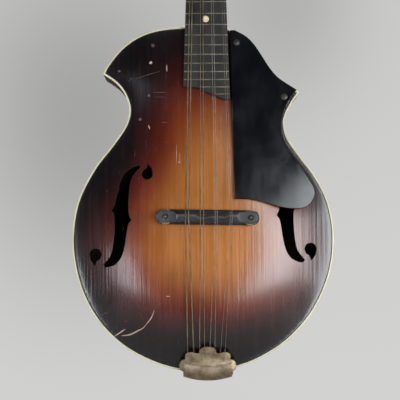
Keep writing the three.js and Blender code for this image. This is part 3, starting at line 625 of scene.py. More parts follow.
SPRUCE = spruce_look()
BACK = maple_look("maple_sunburst", rgb(92, 44, 22), rgb(122, 64, 30), rgb(150, 88, 44), burst=True)
RIB_WOOD = maple_look("stained_maple", rgb(34, 18, 14), rgb(48, 25, 18), rgb(66, 36, 25))
RAW = raw_wood_look("bare_spruce", rgb(58, 42, 28), rgb(84, 62, 40), rgb(34, 25, 18))
# painted shade: the inner faces of the plates get a nearly black wood colour for the shade inside
# the body; the bare wood there is lighter
SHADED_INSIDE = raw_wood_look("painted_shade_inside", rgb(22, 16, 12), rgb(34, 25, 17), rgb(12, 9, 7))
CREAM = binding_look()
BOARD_WOOD = dark_wood_look("worn_fingerboard", rgb(14, 13, 15), rgb(28, 27, 27), rgb(56, 54, 50),
                            rough=0.5, dusty=0.5)
EBONY = dark_wood_look("ebonised_hardwood", rgb(15, 14, 15), rgb(27, 26, 27), rgb(60, 60, 62),
                       rough=0.42, dusty=0.2)
SADDLE_WOOD = dark_wood_look("saddle_wood", rgb(22, 22, 24), rgb(42, 43, 46), rgb(96, 100, 104),
                             rough=0.38, dusty=0.45)
BLACK = plastic_look("black_plastic", rgb(6, 7, 12))
NICKEL = metal_look("aged_nickel", rgb(146, 133, 112), rgb(104, 86, 70), rough=0.52,
                    grime=rgb(88, 68, 50))
STEEL = metal_look("dull_steel", rgb(190, 190, 192), rgb(140, 138, 134), rough=0.32)
FRET_METAL = metal_look("fret_wire", rgb(148, 142, 128), rgb(108, 101, 88), rough=0.5,
                        brush=(900, 60, 60))
BRASS = metal_look("gear_brass", rgb(190, 154, 88), rgb(140, 106, 58), rough=0.36)
BONE = bone_look("polished_bone", rgb(232, 224, 198), rgb(206, 190, 150))
PEARL = pearl_look("cream_pearloid", rgb(226, 214, 174), rgb(204, 196, 170))
DOT_PEARL = pearl_look("pearl_dot", rgb(214, 200, 158), rgb(190, 178, 140))
WOUND = wound_look()
PLAIN_WIRE = metal_look("steel_wire", rgb(132, 129, 124), rgb(98, 92, 84), rough=0.5, worn=0.3)
SCRATCH = raw_wood_look("scratched_finish", rgb(150, 128, 112), rgb(184, 164, 148),
                        rgb(118, 92, 76))
RUBBED = raw_wood_look("rubbed_finish", rgb(64, 50, 46), rgb(96, 76, 66), rgb(44, 32, 30))
SCREW = metal_look("dark_screw", rgb(84, 82, 80), rgb(50, 48, 48), rough=0.45)


# ------------------------------------------------------------------ carved plates
def f_hole(side):
    """The three closed outlines of one sound hole."""
    stem = np.vstack([
        smooth_line(run, max(4, round(len(run) * 4)))[:-1] for run in STEM_RUNS
    ])
    if side > 0:
        stem = np.column_stack([TREBLE_MIRROR - stem[:, 0], stem[:, 1] + TREBLE_RISE])
    loops = [stem]
    for centre, radius, way in EYES[side]:
        round_part = [(math.cos(a), math.sin(a)) for a in np.radians(np.linspace(-62, 195, 40))]
        tail_out = smooth_line([round_part[-1], (-0.9, -0.66), (-0.66, -1.2), (-0.16, -1.86)], 12)
        tail_in = smooth_line([(-0.1, -1.84), (0.02, -1.42), (0.18, -1.1), round_part[0]], 8)
        comma = np.array([*round_part, *tail_out[1:], *tail_in[:-1]])
        loops.append(centre + comma * (side * way * radius, -way * radius))
    return loops


def grown(loop, distance):
    """A small closed loop moved outwards."""
    area = (loop[:, 0] * np.roll(loop[:, 1], -1) - loop[:, 1] * np.roll(loop[:, 0], -1)).sum()
    way = np.roll(loop, -1, 0) - np.roll(loop, 1, 0)
    way /= np.hypot(*way.T)[:, None]
    out = np.column_stack([way[:, 1], -way[:, 0]]) * (1 if area > 0 else -1)
    return loop + distance * out


HOLE_MARGIN = 1.1


def plate(name, look, edge, outer_of, inner_of, stands_for, holes=(), at=BODY,
          pitch=2.6, margin=1.3, chamfer=0.35, edge_chamfer=0.0, back_look=None):
    """A thin plate: outer and inner faces on one triangulation, with walls round its edges.

    The outer face is drawn in by a chamfer round each hole and, if asked for, at the edge.
    """
    walls = [edge, *holes]
    loops = [grown(edge, -edge_chamfer) if edge_chamfer else edge]
    loops += [grown(hole, chamfer) for hole in holes]
    low, high = edge.min(0), edge.max(0)
    grid = []
    row_pitch = 0.866 * pitch
    for row, z in enumerate(np.arange(low[1] + 1, high[1], row_pitch)):
        shift = pitch / 2 if row % 2 else 0
        grid += [(x, z) for x in np.arange(low[0] + 1 + shift, high[0], pitch)]
    grid = np.array(grid)
    keep = inside(grid, loops[0])
    for index, loop in enumerate(loops):
        reach = HOLE_MARGIN if index else margin
        keep &= np.sqrt(((grid[:, None, :] - loop[None]) ** 2).sum(2)).min(1) > reach
        if index:
            keep &= ~inside(grid, loop)
    flat = np.vstack([*loops, grid[keep]])
    edges = []
    start = 0
    for loop in loops:
        count = len(loop)
        edges += [(start + i, start + (i + 1) % count) for i in range(count)]
        start += count
    verts, _, triangles, *_ = delaunay_2d_cdt([Vector(p) for p in flat], edges, [], 0, 1e-6)
    flat = np.array([tuple(v) for v in verts])
    middles = np.array([flat[list(t)].mean(0) for t in triangles])
    kept = inside(middles, loops[0])
    for loop in loops[1:]:
        kept &= ~inside(middles, loop)
    triangles = [tuple(t) for t, k in zip(triangles, kept) if k]

    outer, inner = outer_of(flat), inner_of(flat)
    points = [(p[0], y, p[1]) for p, y in zip(flat, outer)]
    points += [(p[0], y, p[1]) for p, y in zip(flat, inner)]
    count = len(flat)
    front = -1 if outer.mean() < inner.mean() else 1
    order = 1 if front < 0 else -1
    faces = [t[::order] for t in triangles]
    faces += [tuple(i + count for i in t[::-order]) for t in triangles]
    surface = len(triangles)
    start = 0
    for index, (loop, wall) in enumerate(zip(loops, walls)):
        size = len(loop)
        drawn = chamfer if index else edge_chamfer
        ring = list(range(start, start + size))
        if drawn:
            ring = list(range(len(points), len(points) + size))
            points += [(p[0], y, p[1]) for p, y in zip(wall, outer_of(wall) - front * drawn)]
        for i in range(size):
            j = (i + 1) % size
            a, b = start + i, start + j
            if drawn:
                faces.append((a, b, ring[j], ring[i]))
            faces.append((ring[i], ring[j], b + count, a + count))
        start += size
    mesh = bpy.data.meshes.new(name)
    mesh.from_pydata((in_frame(points, at) * 0.001).tolist(), [], faces)
    step = 0.4
    slope = [(outer_of(flat + d) - outer_of(flat - d)) / (2 * step)
             for d in (np.array([step, 0]), np.array([0, step]))]
    normals = np.column_stack([-front * slope[0], np.full(count, front), -front * slope[1]])
    normals = normals @ np.array(at)[:3, :3].T
    normals /= np.sqrt((normals**2).sum(1))[:, None]
    mesh.shade_smooth()
    mesh.set_sharp_from_angle(angle=math.radians(30))
    custom = [(0.0, 0.0, 0.0)] * len(mesh.loops)
    for polygon in mesh.polygons[:surface]:
        for index in polygon.loop_indices:
            custom[index] = tuple(normals[mesh.loops[index].vertex_index])
    mesh.normals_split_custom_set(custom)
    made = show(name, mesh, look, stands_for=stands_for)
    if back_look:
        mesh.materials.append(back_look)
        for polygon in mesh.polygons[surface:]:
            polygon.material_index = 1
    return made


plate(
    "carved_top", SPRUCE, body_ring(BINDING + LINE),
    lambda p: -PLATE - TOP_ARCH * arch_share(p), lambda p: -TOP_ARCH * arch_share(p),
    ["top_plate"], holes=f_hole(-1) + f_hole(1), back_look=SHADED_INSIDE,
)
plate(
    "carved_back", BACK, body_ring(BINDING),
    lambda p: RIM_DEPTH + PLATE + BACK_ARCH * arch_share(p),
    lambda p: RIM_DEPTH + BACK_ARCH * arch_share(p),
    ["back_plate"], pitch=3.2, back_look=SHADED_INSIDE,
)


# ------------------------------------------------------------------ rim: bindings, ribs, linings
def rim_lines(profile):
    """Lines round the body for profile pairs (inset, y)."""
    rings = {inset: body_ring(inset) for inset in {p[0] for p in profile}}
    return [[(p[0], y, p[1]) for p in rings[inset]] for inset, y in profile]


def ring_band(profile):
    bands = rim_lines(profile)
    return rings_skin([*bands, bands[0]], caps=False)


piece("binding_front", ring_band([
    (0, 0), (0, -3.2), (0.25, -3.8), (0.8, -4.02), (BINDING, -4.0), (BINDING, 0),
]), CREAM, stands_for=["top_binding"])
piece("binding_line", ring_band([
    (BINDING, 0), (BINDING, -3.98), (BINDING + LINE, -4.02), (BINDING + LINE, 0),
]), EBONY)
piece("binding_back", ring_band([
    (0, RIM_DEPTH), (0, 47.2), (0.25, 47.8), (0.8, 48.02), (BINDING, 48), (BINDING, RIM_DEPTH),
]), CREAM, stands_for=["back_binding"])


def rim_index(x, after):
    """The first place on the rim, from one on, where it crosses x."""
    for i in range(after, len(RIM)):
        if (RIM[i][0] - x) * (RIM[(i + 1) % len(RIM)][0] - x) <= 0:
            return i
    raise ValueError(x)


def strip(start, end, profile):
    """A stretch of the rim, between two of its places."""
    lines = rim_lines(profile)
    return rings_skin([[line[i % len(RIM)] for line in lines] for i in range(start, end + 1)])


TAIL_SEAM = rim_index(0, UPPER_COUNT)
RIB_PROFILE = [(0.12, 0.02), (0.12, RIM_DEPTH - 0.02), (2.4, RIM_DEPTH - 0.02), (2.4, 0.02)]
for name, start, end in (
    ("rib_upper_bass", 0, rim_index(-4, 0)),
    ("rib_upper_treble", rim_index(4, 0), UPPER_COUNT),
    ("rib_lower_treble", UPPER_COUNT, TAIL_SEAM),
    ("rib_lower_bass", TAIL_SEAM, len(RIM)),
):
    piece("bent_" + name, strip(start, end, RIB_PROFILE), RIB_WOOD, stands_for=[name])

LINING_SPANS = [
    (9, rim_index(-36, 0)), (rim_index(31, 0), UPPER_COUNT - 30),
    (UPPER_COUNT + 14, rim_index(25, UPPER_COUNT)), (rim_index(-36, UPPER_COUNT), len(RIM) - 14),
]
for name, edge, deep in (("front", 0.1, 8), ("back", RIM_DEPTH - 0.1, RIM_DEPTH - 8)):
    profile = [(2.5, edge), (8, edge), (8, edge + (deep - edge) * 0.3), (4.2, deep), (2.5, deep)]
    piece("lining_" + name, merged(*[strip(a, b, profile) for a, b in LINING_SPANS]), RAW)

for node in ("neck_block", "tail_block", "horn_block_bass", "horn_block_treble",
             "tone_bar_bass", "tone_bar_treble"):
    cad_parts[node].data.materials[0] = RAW
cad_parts["pickguard_block"].data.materials[0] = EBONY
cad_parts["truss_rod"].data.materials[0] = STEEL


# ------------------------------------------------------------------ neck and headstock
def board_half(z):
    return NUT_HALF + BOARD_TAPER * abs(min(0, z))


def head_outline(narrow=0.0):
    right = smooth_line([
        (14.6, 0.4), (15.6, 8), (21.5, 16), (29.5, 23), (32.6, 33), (31.8, 60), (30, 90),
        (29, 110), (26, 120), (19, 122.5), (12, 126), (6, 131), (0, 133),
    ], 60)
    right = [(p[0] - narrow if p[0] > 1 else p[0], p[1]) for p in right]
    return right + [(-x, z) for x, z in reversed(right[:-1])]


def neck_ring(z, front, depth, power, slant):
    """One arch-shaped section of the neck; slant leans it towards the heel."""
    half = board_half(z) - 0.25
    ring = []
    for k in range(33):
        angle = math.pi * k / 32
        c, s = math.cos(angle), math.sin(angle)
        y = front + depth * s**power
        ring.append((half * math.copysign(abs(c) ** power, c), y, z + slant * y))
    return ring


NECK_FRONT = 4.6
HEEL_Z = -176.4 / math.cos(NECK_TILT)
shaft = rings_skin([
    neck_ring(14, 8.4, 7.5, 0.9, 0), neck_ring(9, 6.5, 11.2, 0.9, 0),
    neck_ring(4, 5.2, 13.4, 0.88, 0),
    *[neck_ring(z, NECK_FRONT, depth, power, slant) for z, depth, power, slant in [
        (-4, 14.4, 0.86, 0), (-20, 14.7, 0.85, 0), (-70, 15.8, 0.85, 0), (-125, 16.9, 0.85, 0),
        (-140, 18.2, 0.82, 0.01), (-150, 21, 0.78, 0.025), (-158, 26, 0.74, 0.04),
        (-164.5, 34, 0.7, 0.055), (-169.5, 43, 0.66, 0.07), (-173.5, 50, 0.62, 0.08),
        (HEEL_Z, 52.6, 0.6, 0.0875),
    ]],
])
board_back = NECK_Y + 5.0 / math.cos(NECK_TILT)
tongue_rings = []
for z in (-168, -174, -182, -190, -198, -205, -211.5):
    under = -4.6 if z > -178 else float(front_y([(0, z)])[0]) - 0.2
    front = min(board_back + z * math.tan(NECK_TILT), under - 0.8)
    half = board_half(z) - 0.6
    tongue_rings.append([(-half, front, z), (half, front, z), (half, under, z), (-half, under, z)])
tongue = placed(rings_skin(tongue_rings), NECK.inverted() @ BODY)
head_block = placed(prism(head_outline(0.1), 2.0, 15.3), NECK.inverted() @ HEAD)
volute = placed(lathe([
    (0.1, -9), (4, -8.6), (7.2, -6), (8.6, -2), (8.6, 2), (7.2, 6), (4, 8.6), (0.1, 9),
], 24, "z"), NECK.inverted() @ HEAD @ moved(0, 10.4, 6))


def working_object(part, weld=0.0):
    """An object in the part's own millimetres, for modifiers to work on."""
    made = bpy.data.objects.new("blank", bpy.data.meshes.new("blank"))
    made.data.from_pydata([tuple(p) for p in part[0]], [], part[1])
    bm = bmesh.new()
    bm.from_mesh(made.data)
    if weld:
        bmesh.ops.remove_doubles(bm, verts=bm.verts, dist=weld)
    bmesh.ops.recalc_face_normals(bm, faces=bm.faces)
    bm.to_mesh(made.data)
    bm.free()
    bpy.context.scene.collection.objects.link(made)
    return made


def worked(blank, *tools):
    """The part that the blank's modifiers make; blank and tools are removed."""
    bpy.context.view_layer.update()
    done = blank.evaluated_get(bpy.context.evaluated_depsgraph_get()).to_mesh()
    result = ([tuple(v.co) for v in done.vertices], [tuple(p.vertices) for p in done.polygons])
    for made in (blank, *tools):
        mesh = made.data
        bpy.data.objects.remove(made)
        bpy.data.meshes.remove(mesh)
    return result


def carved_solid(part, voxel_mm, smoothing):
    """Overlapping closed shells joined into one carved surface."""
    blank = working_object(part)
    remesh = blank.modifiers.new("remesh", "REMESH")
    remesh.mode = "VOXEL"
    remesh.voxel_size = voxel_mm
    calm = blank.modifiers.new("calm", "SMOOTH")
    calm.factor = 0.5
    calm.iterations = smoothing
    return worked(blank)


def bored(part, holes):
    """A part with round holes along y; each hole is x, z, radius and its two ends."""
    blank = working_object(part, 1e-3)
    drill = working_object(merged(*[
        lathe([(0.001, y0), (radius, y0), (radius, y1), (0.001, y1)], 28, centre=(x, 0, z))
        for x, z, radius, y0, y1 in holes
    ]), 1e-3)
    cut = blank.modifiers.new("cut", "BOOLEAN")
    cut.operation, cut.object, cut.solver = "DIFFERENCE", drill, "EXACT"
    return worked(blank, drill)


piece("carved_neck", carved_solid(merged(shaft, tongue, head_block, volute), 0.9, 5), RIB_WOOD,
      at=NECK, stands_for=["neck"], crease=60)
piece("heel_plate", prism([
    (-13, -175.6), (-12.4, -171.5), (-9, -167.6), (-4, -165.8),
    (4, -165.8), (9, -167.6), (12.4, -171.5), (13, -175.6),
], RIM_DEPTH + 0.2, RIM_DEPTH + PLATE - 0.4), EBONY, bevel=0.4, stands_for=["heel_cap"])

# ------------------------------------------------------------------ fingerboard
BOARD_END = smooth_line([
    (-21.1, -234.4), (-9, -235), (-4.5, -236.8), (0.4, -239.4), (6.8, -242), (12, -244.6),
    (16.5, -246), (21.3, -246.4),
], 40)
board_outline = [(NUT_HALF, -0.05), (-NUT_HALF, -0.05), *[tuple(p) for p in BOARD_END]]
piece("fingerboard_slab", prism(board_outline, 0, BOARD_THICK), BOARD_WOOD, at=NECK, bevel=0.35,
      stands_for=["fingerboard"], bevel_angle=60)


FRET_RISE, FRET_HALF = 0.98, 0.62


def fret_z(number):
    return -SCALE_LENGTH * (1 - 2 ** (-number / 12))


def fret(number):
    """One crowned fret wire, cut short where the board's end leaves it."""
    z = fret_z(number)
    half = board_half(z) - 0.15
    left = -half
    while np.interp(left, BOARD_END[:, 0], BOARD_END[:, 1]) > z - 1.2 and left < half:
        left += 0.25
    rings = []
    for x, size in ((left, 0.35), (left + 0.5, 0.85), (left + 1.1, 1), (0.5 * (left + half), 1),
                    (half - 1.1, 1), (half - 0.5, 0.85), (half, 0.35)):
        rings.append([
            (x, 0.12 - FRET_RISE * size * math.sin(a), z + FRET_HALF * math.cos(a))
            for a in (math.pi * k / 8 for k in range(9))
        ])
    return rings_skin(rings)


piece("frets", merged(*[fret(n) for n in range(1, 21)]), FRET_METAL, at=NECK, crease=50)
dots = []
for number in (5, 7, 10, 12):
    middle = (fret_z(number) + fret_z(number - 1)) / 2
    dots.append(lathe([(0.05, 0.6), (3.0, 0.6), (3.0, -0.02), (2.9, -0.05), (0.05, -0.06)], 32,
                      centre=(-0.4, 0, middle)))
piece("fret_dots", merged(*dots), DOT_PEARL, at=NECK)
piece("nut_block", prism([
    (-1.55, 0.15), (-1.2, 4.1), (-0.6, 4.5), (5.2, 4.5), (5.2, 0.15),
], -NUT_HALF, NUT_HALF, "x"), BONE, at=NECK, bevel=0.25, stands_for=["nut"])

# ------------------------------------------------------------------ headstock and tuners
piece("head_veneer", prism(head_outline(), 0, 2.1), BLACK, at=HEAD, bevel=0.3,
      stands_for=["headstock_veneer"], bevel_angle=60)
piece("rod_cover", prism([
    (-7, 7), (7, 7), (6.8, 14), (5.4, 21), (2.6, 27), (0, 29), (-2.6, 27), (-5.4, 21), (-6.8, 14),
], -1.8, -0.02), BLACK, at=HEAD, bevel=0.35, stands_for=["truss_rod_cover"])


def slotted_screw(x, z, y, radius, rise, toward=-1, turn=0.4):
    """A low screw head with a slot; toward gives the side that it faces."""
    start = math.asin(0.16)
    c, s = math.cos(turn), math.sin(turn)
    parts = [lathe([(0.02, y), (radius, y), (radius, y + toward * rise * 0.5),
                    (0.02, y + toward * rise * 0.55)], 24, centre=(x, 0, z))]
    for sign in (1, -1):
        ring = [
            (x + u * c - v * s, z + u * s + v * c) for u, v in (
                (radius * math.cos(a), sign * radius * math.sin(a))
                for a in np.linspace(start, math.pi - start, 13)
            )
        ]
        top = [(x + 0.86 * (px - x), z + 0.86 * (pz - z)) for px, pz in ring]
        parts.append(rings_skin([
            [(px, y, pz) for px, pz in ring],
            [(px, y + toward * rise * 0.7, pz) for px, pz in ring],
            [(px, y + toward * rise, pz) for px, pz in top],
        ]))
    return merged(*parts)


piece("rod_cover_screws", merged(
    slotted_screw(0, 10, -1.8, 1.5, 0.6), slotted_screw(0, 24.5, -1.8, 1.4, 0.6, turn=1.1),
), NICKEL, at=HEAD)
piece("post_bushings", merged(*[
    lathe([(3.1, 0.2), (5.2, 0.2), (5.2, -0.5), (4.6, -0.9), (3.3, -1.3), (3.1, -1.2)], 32,
          centre=(side * POST_X, 0, z))
    for side in (-1, 1) for z in POST_Z
]), NICKEL, at=HEAD)


def rounded_bar(x0, x1, z0, z1, radius):
    corners = [(x1 - radius, z1 - radius, 0), (x0 + radius, z1 - radius, 1),
               (x0 + radius, z0 + radius, 2), (x1 - radius, z0 + radius, 3)]
    return [
        (x + radius * math.cos(a), z + radius * math.sin(a))
        for x, z, quarter in corners
        for a in (math.pi / 2 * (quarter + k / 6) for k in range(7))
    ]


def tuner_strip(side):
    """One tuner plate with the tabs that hold its four worms."""
    parts = [prism(rounded_bar(POST_X - 7, POST_X + 7, 14, 106, 3), PLATE_BACK, PLATE_BACK + 1.2)]
    for z in POST_Z:
        for low, high in ((POST_X - 6.6, POST_X - 5.1), (POST_X + 5.1, POST_X + 6.6)):
            parts.append(prism([(y, z - WORM_DROP + dz) for y, dz in (
                (PLATE_BACK + 0.8, -3), (PLATE_BACK + 0.8, 3), (WORM_Y + 0.8, 3),
                (WORM_Y + 2.2, 2.1), (WORM_Y + 2.8, 0), (WORM_Y + 2.2, -2.1), (WORM_Y + 0.8, -3),
            )], low, high, "x"))
    points, faces = merged(*parts)
    return [(side * x, y, z) for x, y, z in points], faces


def toothed(radii, teeth, low, high):
    """A wheel whose radius runs through the same few values on each tooth."""
    count = len(radii) * teeth
    return prism([
        (radii[k % len(radii)] * math.cos(a), radii[k % len(radii)] * math.sin(a))
        for k, a in enumerate(turn_steps(count))
    ], low, high)


def button():
    """A flattened oval finger button, dished a little on both faces."""
    middle, half_x, half_y, half_z = 43.2, 6.6, 3.9, 7.2
    rings = []
    for i in range(17):
        t = -1 + 2 * i / 16
        size = max(0.02, (1 - abs(t) ** 2.6)) ** (1 / 2.6)
        ring = []
        for a in turn_steps(32):
            c, s = math.cos(a), math.sin(a)
            flat = half_y * math.copysign(abs(s) ** 0.8, s) * (0.72 + 0.28 * abs(t) ** 2)
            tall = half_z * math.copysign(abs(c) ** 0.9, c)
            ring.append((middle + half_x * t, flat * size, tall * size))
        rings.append(ring)
    return rings_skin(rings)


WORM_PROFILE = [(0.05, 13.2), (1.6, 13.2), (1.6, 14.2), (2.3, 14.7)]
for ridge in range(6):
    at = 15.1 + ridge * 1.25
    WORM_PROFILE += [(2.5, at), (2.5, at + 0.4), (1.9, at + 0.65), (1.9, at + 1.0)]
WORM_PROFILE += [(2.3, 22.9), (1.6, 23.3), (1.6, 33.4), (2.4, 33.8), (2.6, 34.6), (2.4, 35.6),
                 (1.7, 36), (1.7, 39), (0.05, 39)]
POST_PROFILE = [
    (0.05, -16.5), (1.9, -16.5), (2.4, -16.2), (2.7, -15.2), (2.2, -14.2), (2.2, -9.6), (2.9, -8.4),
    (2.9, 15.5), (0.05, 15.5),
]
for side_name, side in (("bass", -1), ("treble", 1)):
    piece(f"tuner_strip_{side_name}", tuner_strip(side), NICKEL, at=HEAD, bevel=0.2,
          stands_for=[f"tuner_plate_{side_name}"], bevel_angle=60)
    piece(f"tuner_strip_screws_{side_name}", merged(*[
        slotted_screw(side * POST_X, z, PLATE_BACK + 1.15, 1.9, 0.7, toward=1, turn=turn)
        for z, turn in ((17, 0.3), (39.5, 1.2), (62.5, 2.1), (103, 0.8))
    ]), NICKEL, at=HEAD)
    for row, z in enumerate(POST_Z, 1):
        key_body, post_body = f"key_{side_name}_{row}", f"post_{side_name}_{row}"
        at_key = HEAD @ moved(0, WORM_Y, z - WORM_DROP)
        mirror = Matrix.Diagonal((side, 1, 1, 1))
        piece(f"worm_shaft_{side_name}_{row}", placed(lathe(WORM_PROFILE, 24, "x"), mirror), NICKEL,
              at=at_key, body=key_body, stands_for=[f"tuner_key_{side_name}_{row}"],
              crease=45)
        piece(f"key_button_{side_name}_{row}", placed(button(), mirror), PEARL, at=at_key,
              body=key_body, crease=60)
        at_post = HEAD @ moved(side * POST_X, 0, z)
        piece(f"post_{side_name}_{row}_barrel", lathe(POST_PROFILE, 28), NICKEL, at=at_post,
              body=post_body, stands_for=[f"string_post_{side_name}_{row}"],
              crease=45)
        piece(f"post_gear_{side_name}_{row}", merged(
            toothed((4.7, 5.6, 5.6, 4.7), 14, GEAR_FRONT, GEAR_FRONT + 4.8),
            slotted_screw(0, 0, GEAR_FRONT + 4.75, 2.2, 0.7, toward=1, turn=0.5 * row),
        ), BRASS, at=at_post, body=post_body, bevel=0.12, bevel_angle=60)


# ------------------------------------------------------------------ strings
def along(path, step=4.0):
    """A path with more points between its corners, so that a long span can bend."""
    filled = [path[0]]
    for a, b in zip(path, path[1:]):
        count = max(1, round((b - a).length / step))
        filled += [a.lerp(b, k / count) for k in range(1, count + 1)]
    return filled


def in_body(matrix, x, y, z):
    """A point of another frame, in BODY's."""
    return BODY.inverted() @ matrix @ Vector((x, y, z))


for name, nut_x, saddle_x, tail_x, radius, side, row in STRINGS:
    clear = radius + 0.3
    wound = name[0] in "gd"
    look = WOUND if wound else PLAIN_WIRE
    nut_point = in_body(NECK, nut_x, -1.1 - clear, 0.4)
    path = along([
        nut_point,
        Vector((saddle_x, SADDLE_TOP_Y - clear, BRIDGE_Z + 1.6)),
        Vector((saddle_x, SADDLE_TOP_Y - clear + 0.1, BRIDGE_Z - 1.6)),
        Vector((tail_x, HOOK_Y, HOOK_Z + 3)),
    ])
    span = piece(f"string_{name}_span", tube(path, radius), look, stands_for=[f"string_{name}"],
                 crease=80)
    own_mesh(span)
    behind = along([
        in_body(HEAD, side * (POST_X - POST_WAIST - radius), WRAP_Y, POST_Z[row]),
        in_body(NECK, nut_x, -1.15 - clear, 4.4),
        nut_point,
    ], 8)
    piece(f"string_{name}_head", tube(behind, radius), look, crease=80)
    reach = POST_WAIST + radius
    turns = []
    for k in range(int(WRAPS * WRAP_STEPS)):
        angle = -math.pi / 2 * (1 - side) + 2 * math.pi * k / WRAP_STEPS + math.pi
        y = WRAP_Y + 2 * radius * 1.04 * k / WRAP_STEPS - 1.2
        turns.append((reach * math.cos(angle), y, reach * math.sin(angle)))
    post_body = f"post_{'bass' if side < 0 else 'treble'}_{row + 1}"
    piece(f"string_{name}_wraps", tube(turns, radius, 6), look, crease=80,
          at=HEAD @ moved(side * POST_X, 0, POST_Z[row]), body=post_body)


# ------------------------------------------------------------------ bridge
def bar_places(half, round_end, first, flat, count):
    """Places along a bar, closer together where its ends are round."""
    end = half - round_end * (1 - np.cos(np.linspace(math.pi / 2, first, 9)))
    return np.concatenate([-end[::-1], np.linspace(-flat, flat, count), end])


def bar_along_x(stations, corner):
    """A bar along x; each station is x, y of the top and foot, lowest and highest z."""
    rings = []
    for x, top, foot, low, high in stations:
        r = min(corner, 0.45 * (high - low), 0.45 * (foot - top))
        rings.append([
            (x, foot, low), (x, top + r, low), (x, top + 0.3 * r, low + 0.3 * r),
            (x, top, low + r), (x, top, high - r), (x, top + 0.3 * r, high - 0.3 * r),
            (x, top + r, high), (x, foot, high),
        ])
    return rings_skin(rings)


def bridge_foot(x):
    return float(front_y([(x + BRIDGE_X, BRIDGE_Z)])[0]) - 0.05


base_stations = []
for x in bar_places(47, 6.8, 0.06, 39, 53):
    past = max(0.0, abs(x) - 40.2)
    half = math.sqrt(max(0.05, 6.8**2 - past**2))
    top = np.interp(abs(x), [0, 26, 31, 43, 47], [-23.8, -23.8, -22.4, -22.4, -21.2])
    foot = np.interp(abs(x), [0, 11, 15, 17], [-19.4, -19.4, -18.2, 99])
    base_stations.append((x, top, min(foot, bridge_foot(x)), -half, half))
piece("bridge_foot_bar", bar_along_x(base_stations, 1.4), EBONY, at=BRIDGE,
      stands_for=["bridge_base"], crease=50)

# flat ends with the posts' holes; between them a roof-shaped middle whose narrow crest steps
# to and fro, so that each pair of strings gets its own length
SADDLE_FOOT_Y, SHOULDER_Y, CREST_Y = -27.1, -28.9, -32.9
saddle_rings = []
for x in bar_places(46, 5.6, 0.08, 40, 81):
    low = -np.interp(abs(x), [0, 20, 34, 40.5], [4, 4, 5.2, 5.6])
    high = np.interp(x, [-40.5, -34, -29, -28.4, 15.4, 16, 34, 40.5],
                     [5.6, 5.4, 4, 2.9, 2.9, 4, 5.4, 5.6])
    past = max(0.0, abs(x) - 40.4)
    round_end = math.sqrt(max(0.05, 5.6**2 - past**2)) if past else 9
    low, high = max(low, -round_end), min(high, round_end)
    roof = float(np.interp(abs(x), [26.4, 28.6], [1, 0]))
    crest = float(np.interp(x, [-10.5, -9, -0.5, 1, 16.5, 18.5],
                            [1.0, -0.9, -0.9, -0.2, -0.2, 1.3]))
    end_top = float(np.interp(abs(x), [44, 46], [-31.1, -30.3]))
    shoulder = SHOULDER_Y * roof + (end_top + 0.7) * (1 - roof)
    top = CREST_Y * roof + end_top * (1 - roof)
    ease = min(0.8, 0.4 * (high - low))
    crest_low = (crest - 1.05) * roof + (low + ease) * (1 - roof)
    crest_high = (crest + 1.05) * roof + (high - ease) * (1 - roof)
    saddle_rings.append([
        (x, SADDLE_FOOT_Y, low), (x, shoulder, low), (x, top + 0.25, crest_low - 0.12),
        (x, top, crest_low + 0.15), (x, top, crest_high - 0.15), (x, top + 0.25, crest_high + 0.12),
        (x, shoulder, high), (x, SADDLE_FOOT_Y, high),
    ])
piece("bridge_saddle_bar", bored(rings_skin(saddle_rings), [
    (x, 0, 2.7, -33, -26) for x in (-BRIDGE_POST_X, BRIDGE_POST_X)
]), SADDLE_WOOD, at=BRIDGE, body="bridge_saddle_body", stands_for=["bridge_saddle"],
    crease=32)

for side_name, x in (("bass", -BRIDGE_POST_X), ("treble", BRIDGE_POST_X)):
    at_post = BRIDGE @ moved(x, 0, 0)
    piece(f"height_post_{side_name}", merged(
        lathe([(0.05, -18), (1.9, -18), (1.9, -30.6), (1.6, -30.9), (0.05, -30.9)], 24),
        slotted_screw(0, 0, -30.8, 1.65, 0.5, turn=0.9),
    ), SCREW, at=at_post, stands_for=[f"bridge_post_{side_name}"])
    piece(f"height_wheel_{side_name}", merged(
        toothed((6.85, 7.15, 7.15), 48, -26.8, -24.6),
        lathe([(2.0, -26.9), (3.6, -26.95), (3.6, -24.5), (2.0, -24.5)], 32),
    ), NICKEL, at=at_post, body=f"wheel_{side_name}", stands_for=[f"thumbwheel_{side_name}"],
        bevel=0.15, bevel_angle=70)

# ------------------------------------------------------------------ tailpiece and end pin
COVER_HALF = 22.2
COVER_FRONT = -17.0
CLOUD_HALF = [
    [(0, -470.2), (2.4, -470.3), (5, -471), (6.9, -472.8), (7.7, -475.6)],
    [(7.7, -475.6), (9.4, -476.1), (11.6, -475.7), (15, -474.9), (18.6, -475.6), (20.6, -477.6),
     (20.4, -481.6)],
    [(20.4, -481.6), (22.4, -481.8), (24.6, -483.4), (25.8, -486.8), (25.3, -490.2), (23.6, -491.8),
     (COVER_HALF, -492.6)],
]
cloud_right = np.vstack([*[smooth_line(run, 12)[:-1] for run in CLOUD_HALF], CLOUD_HALF[-1][-1:]])
cloud = [tuple(p) for p in cloud_right] + [(-x, z) for x, z in cloud_right[:0:-1]]


def skirt_z(x):
    return TAIL_Z - 6.6 + 3.6 * (x / COVER_HALF) ** 2


def sheet_strip(line, thick, xs):
    """A bent sheet: line gives (y, z above the skirt's end) on its outside; xs across the body."""
    points = np.array(line, float)
    way = np.gradient(points, axis=0)
    way /= np.hypot(*way.T)[:, None]
    back = points + thick * np.column_stack([way[:, 1], -way[:, 0]])
    section = [*points, *back[::-1]]
    return rings_skin([[(x, y, skirt_z(x) + lift) for y, lift in section] for x in xs])


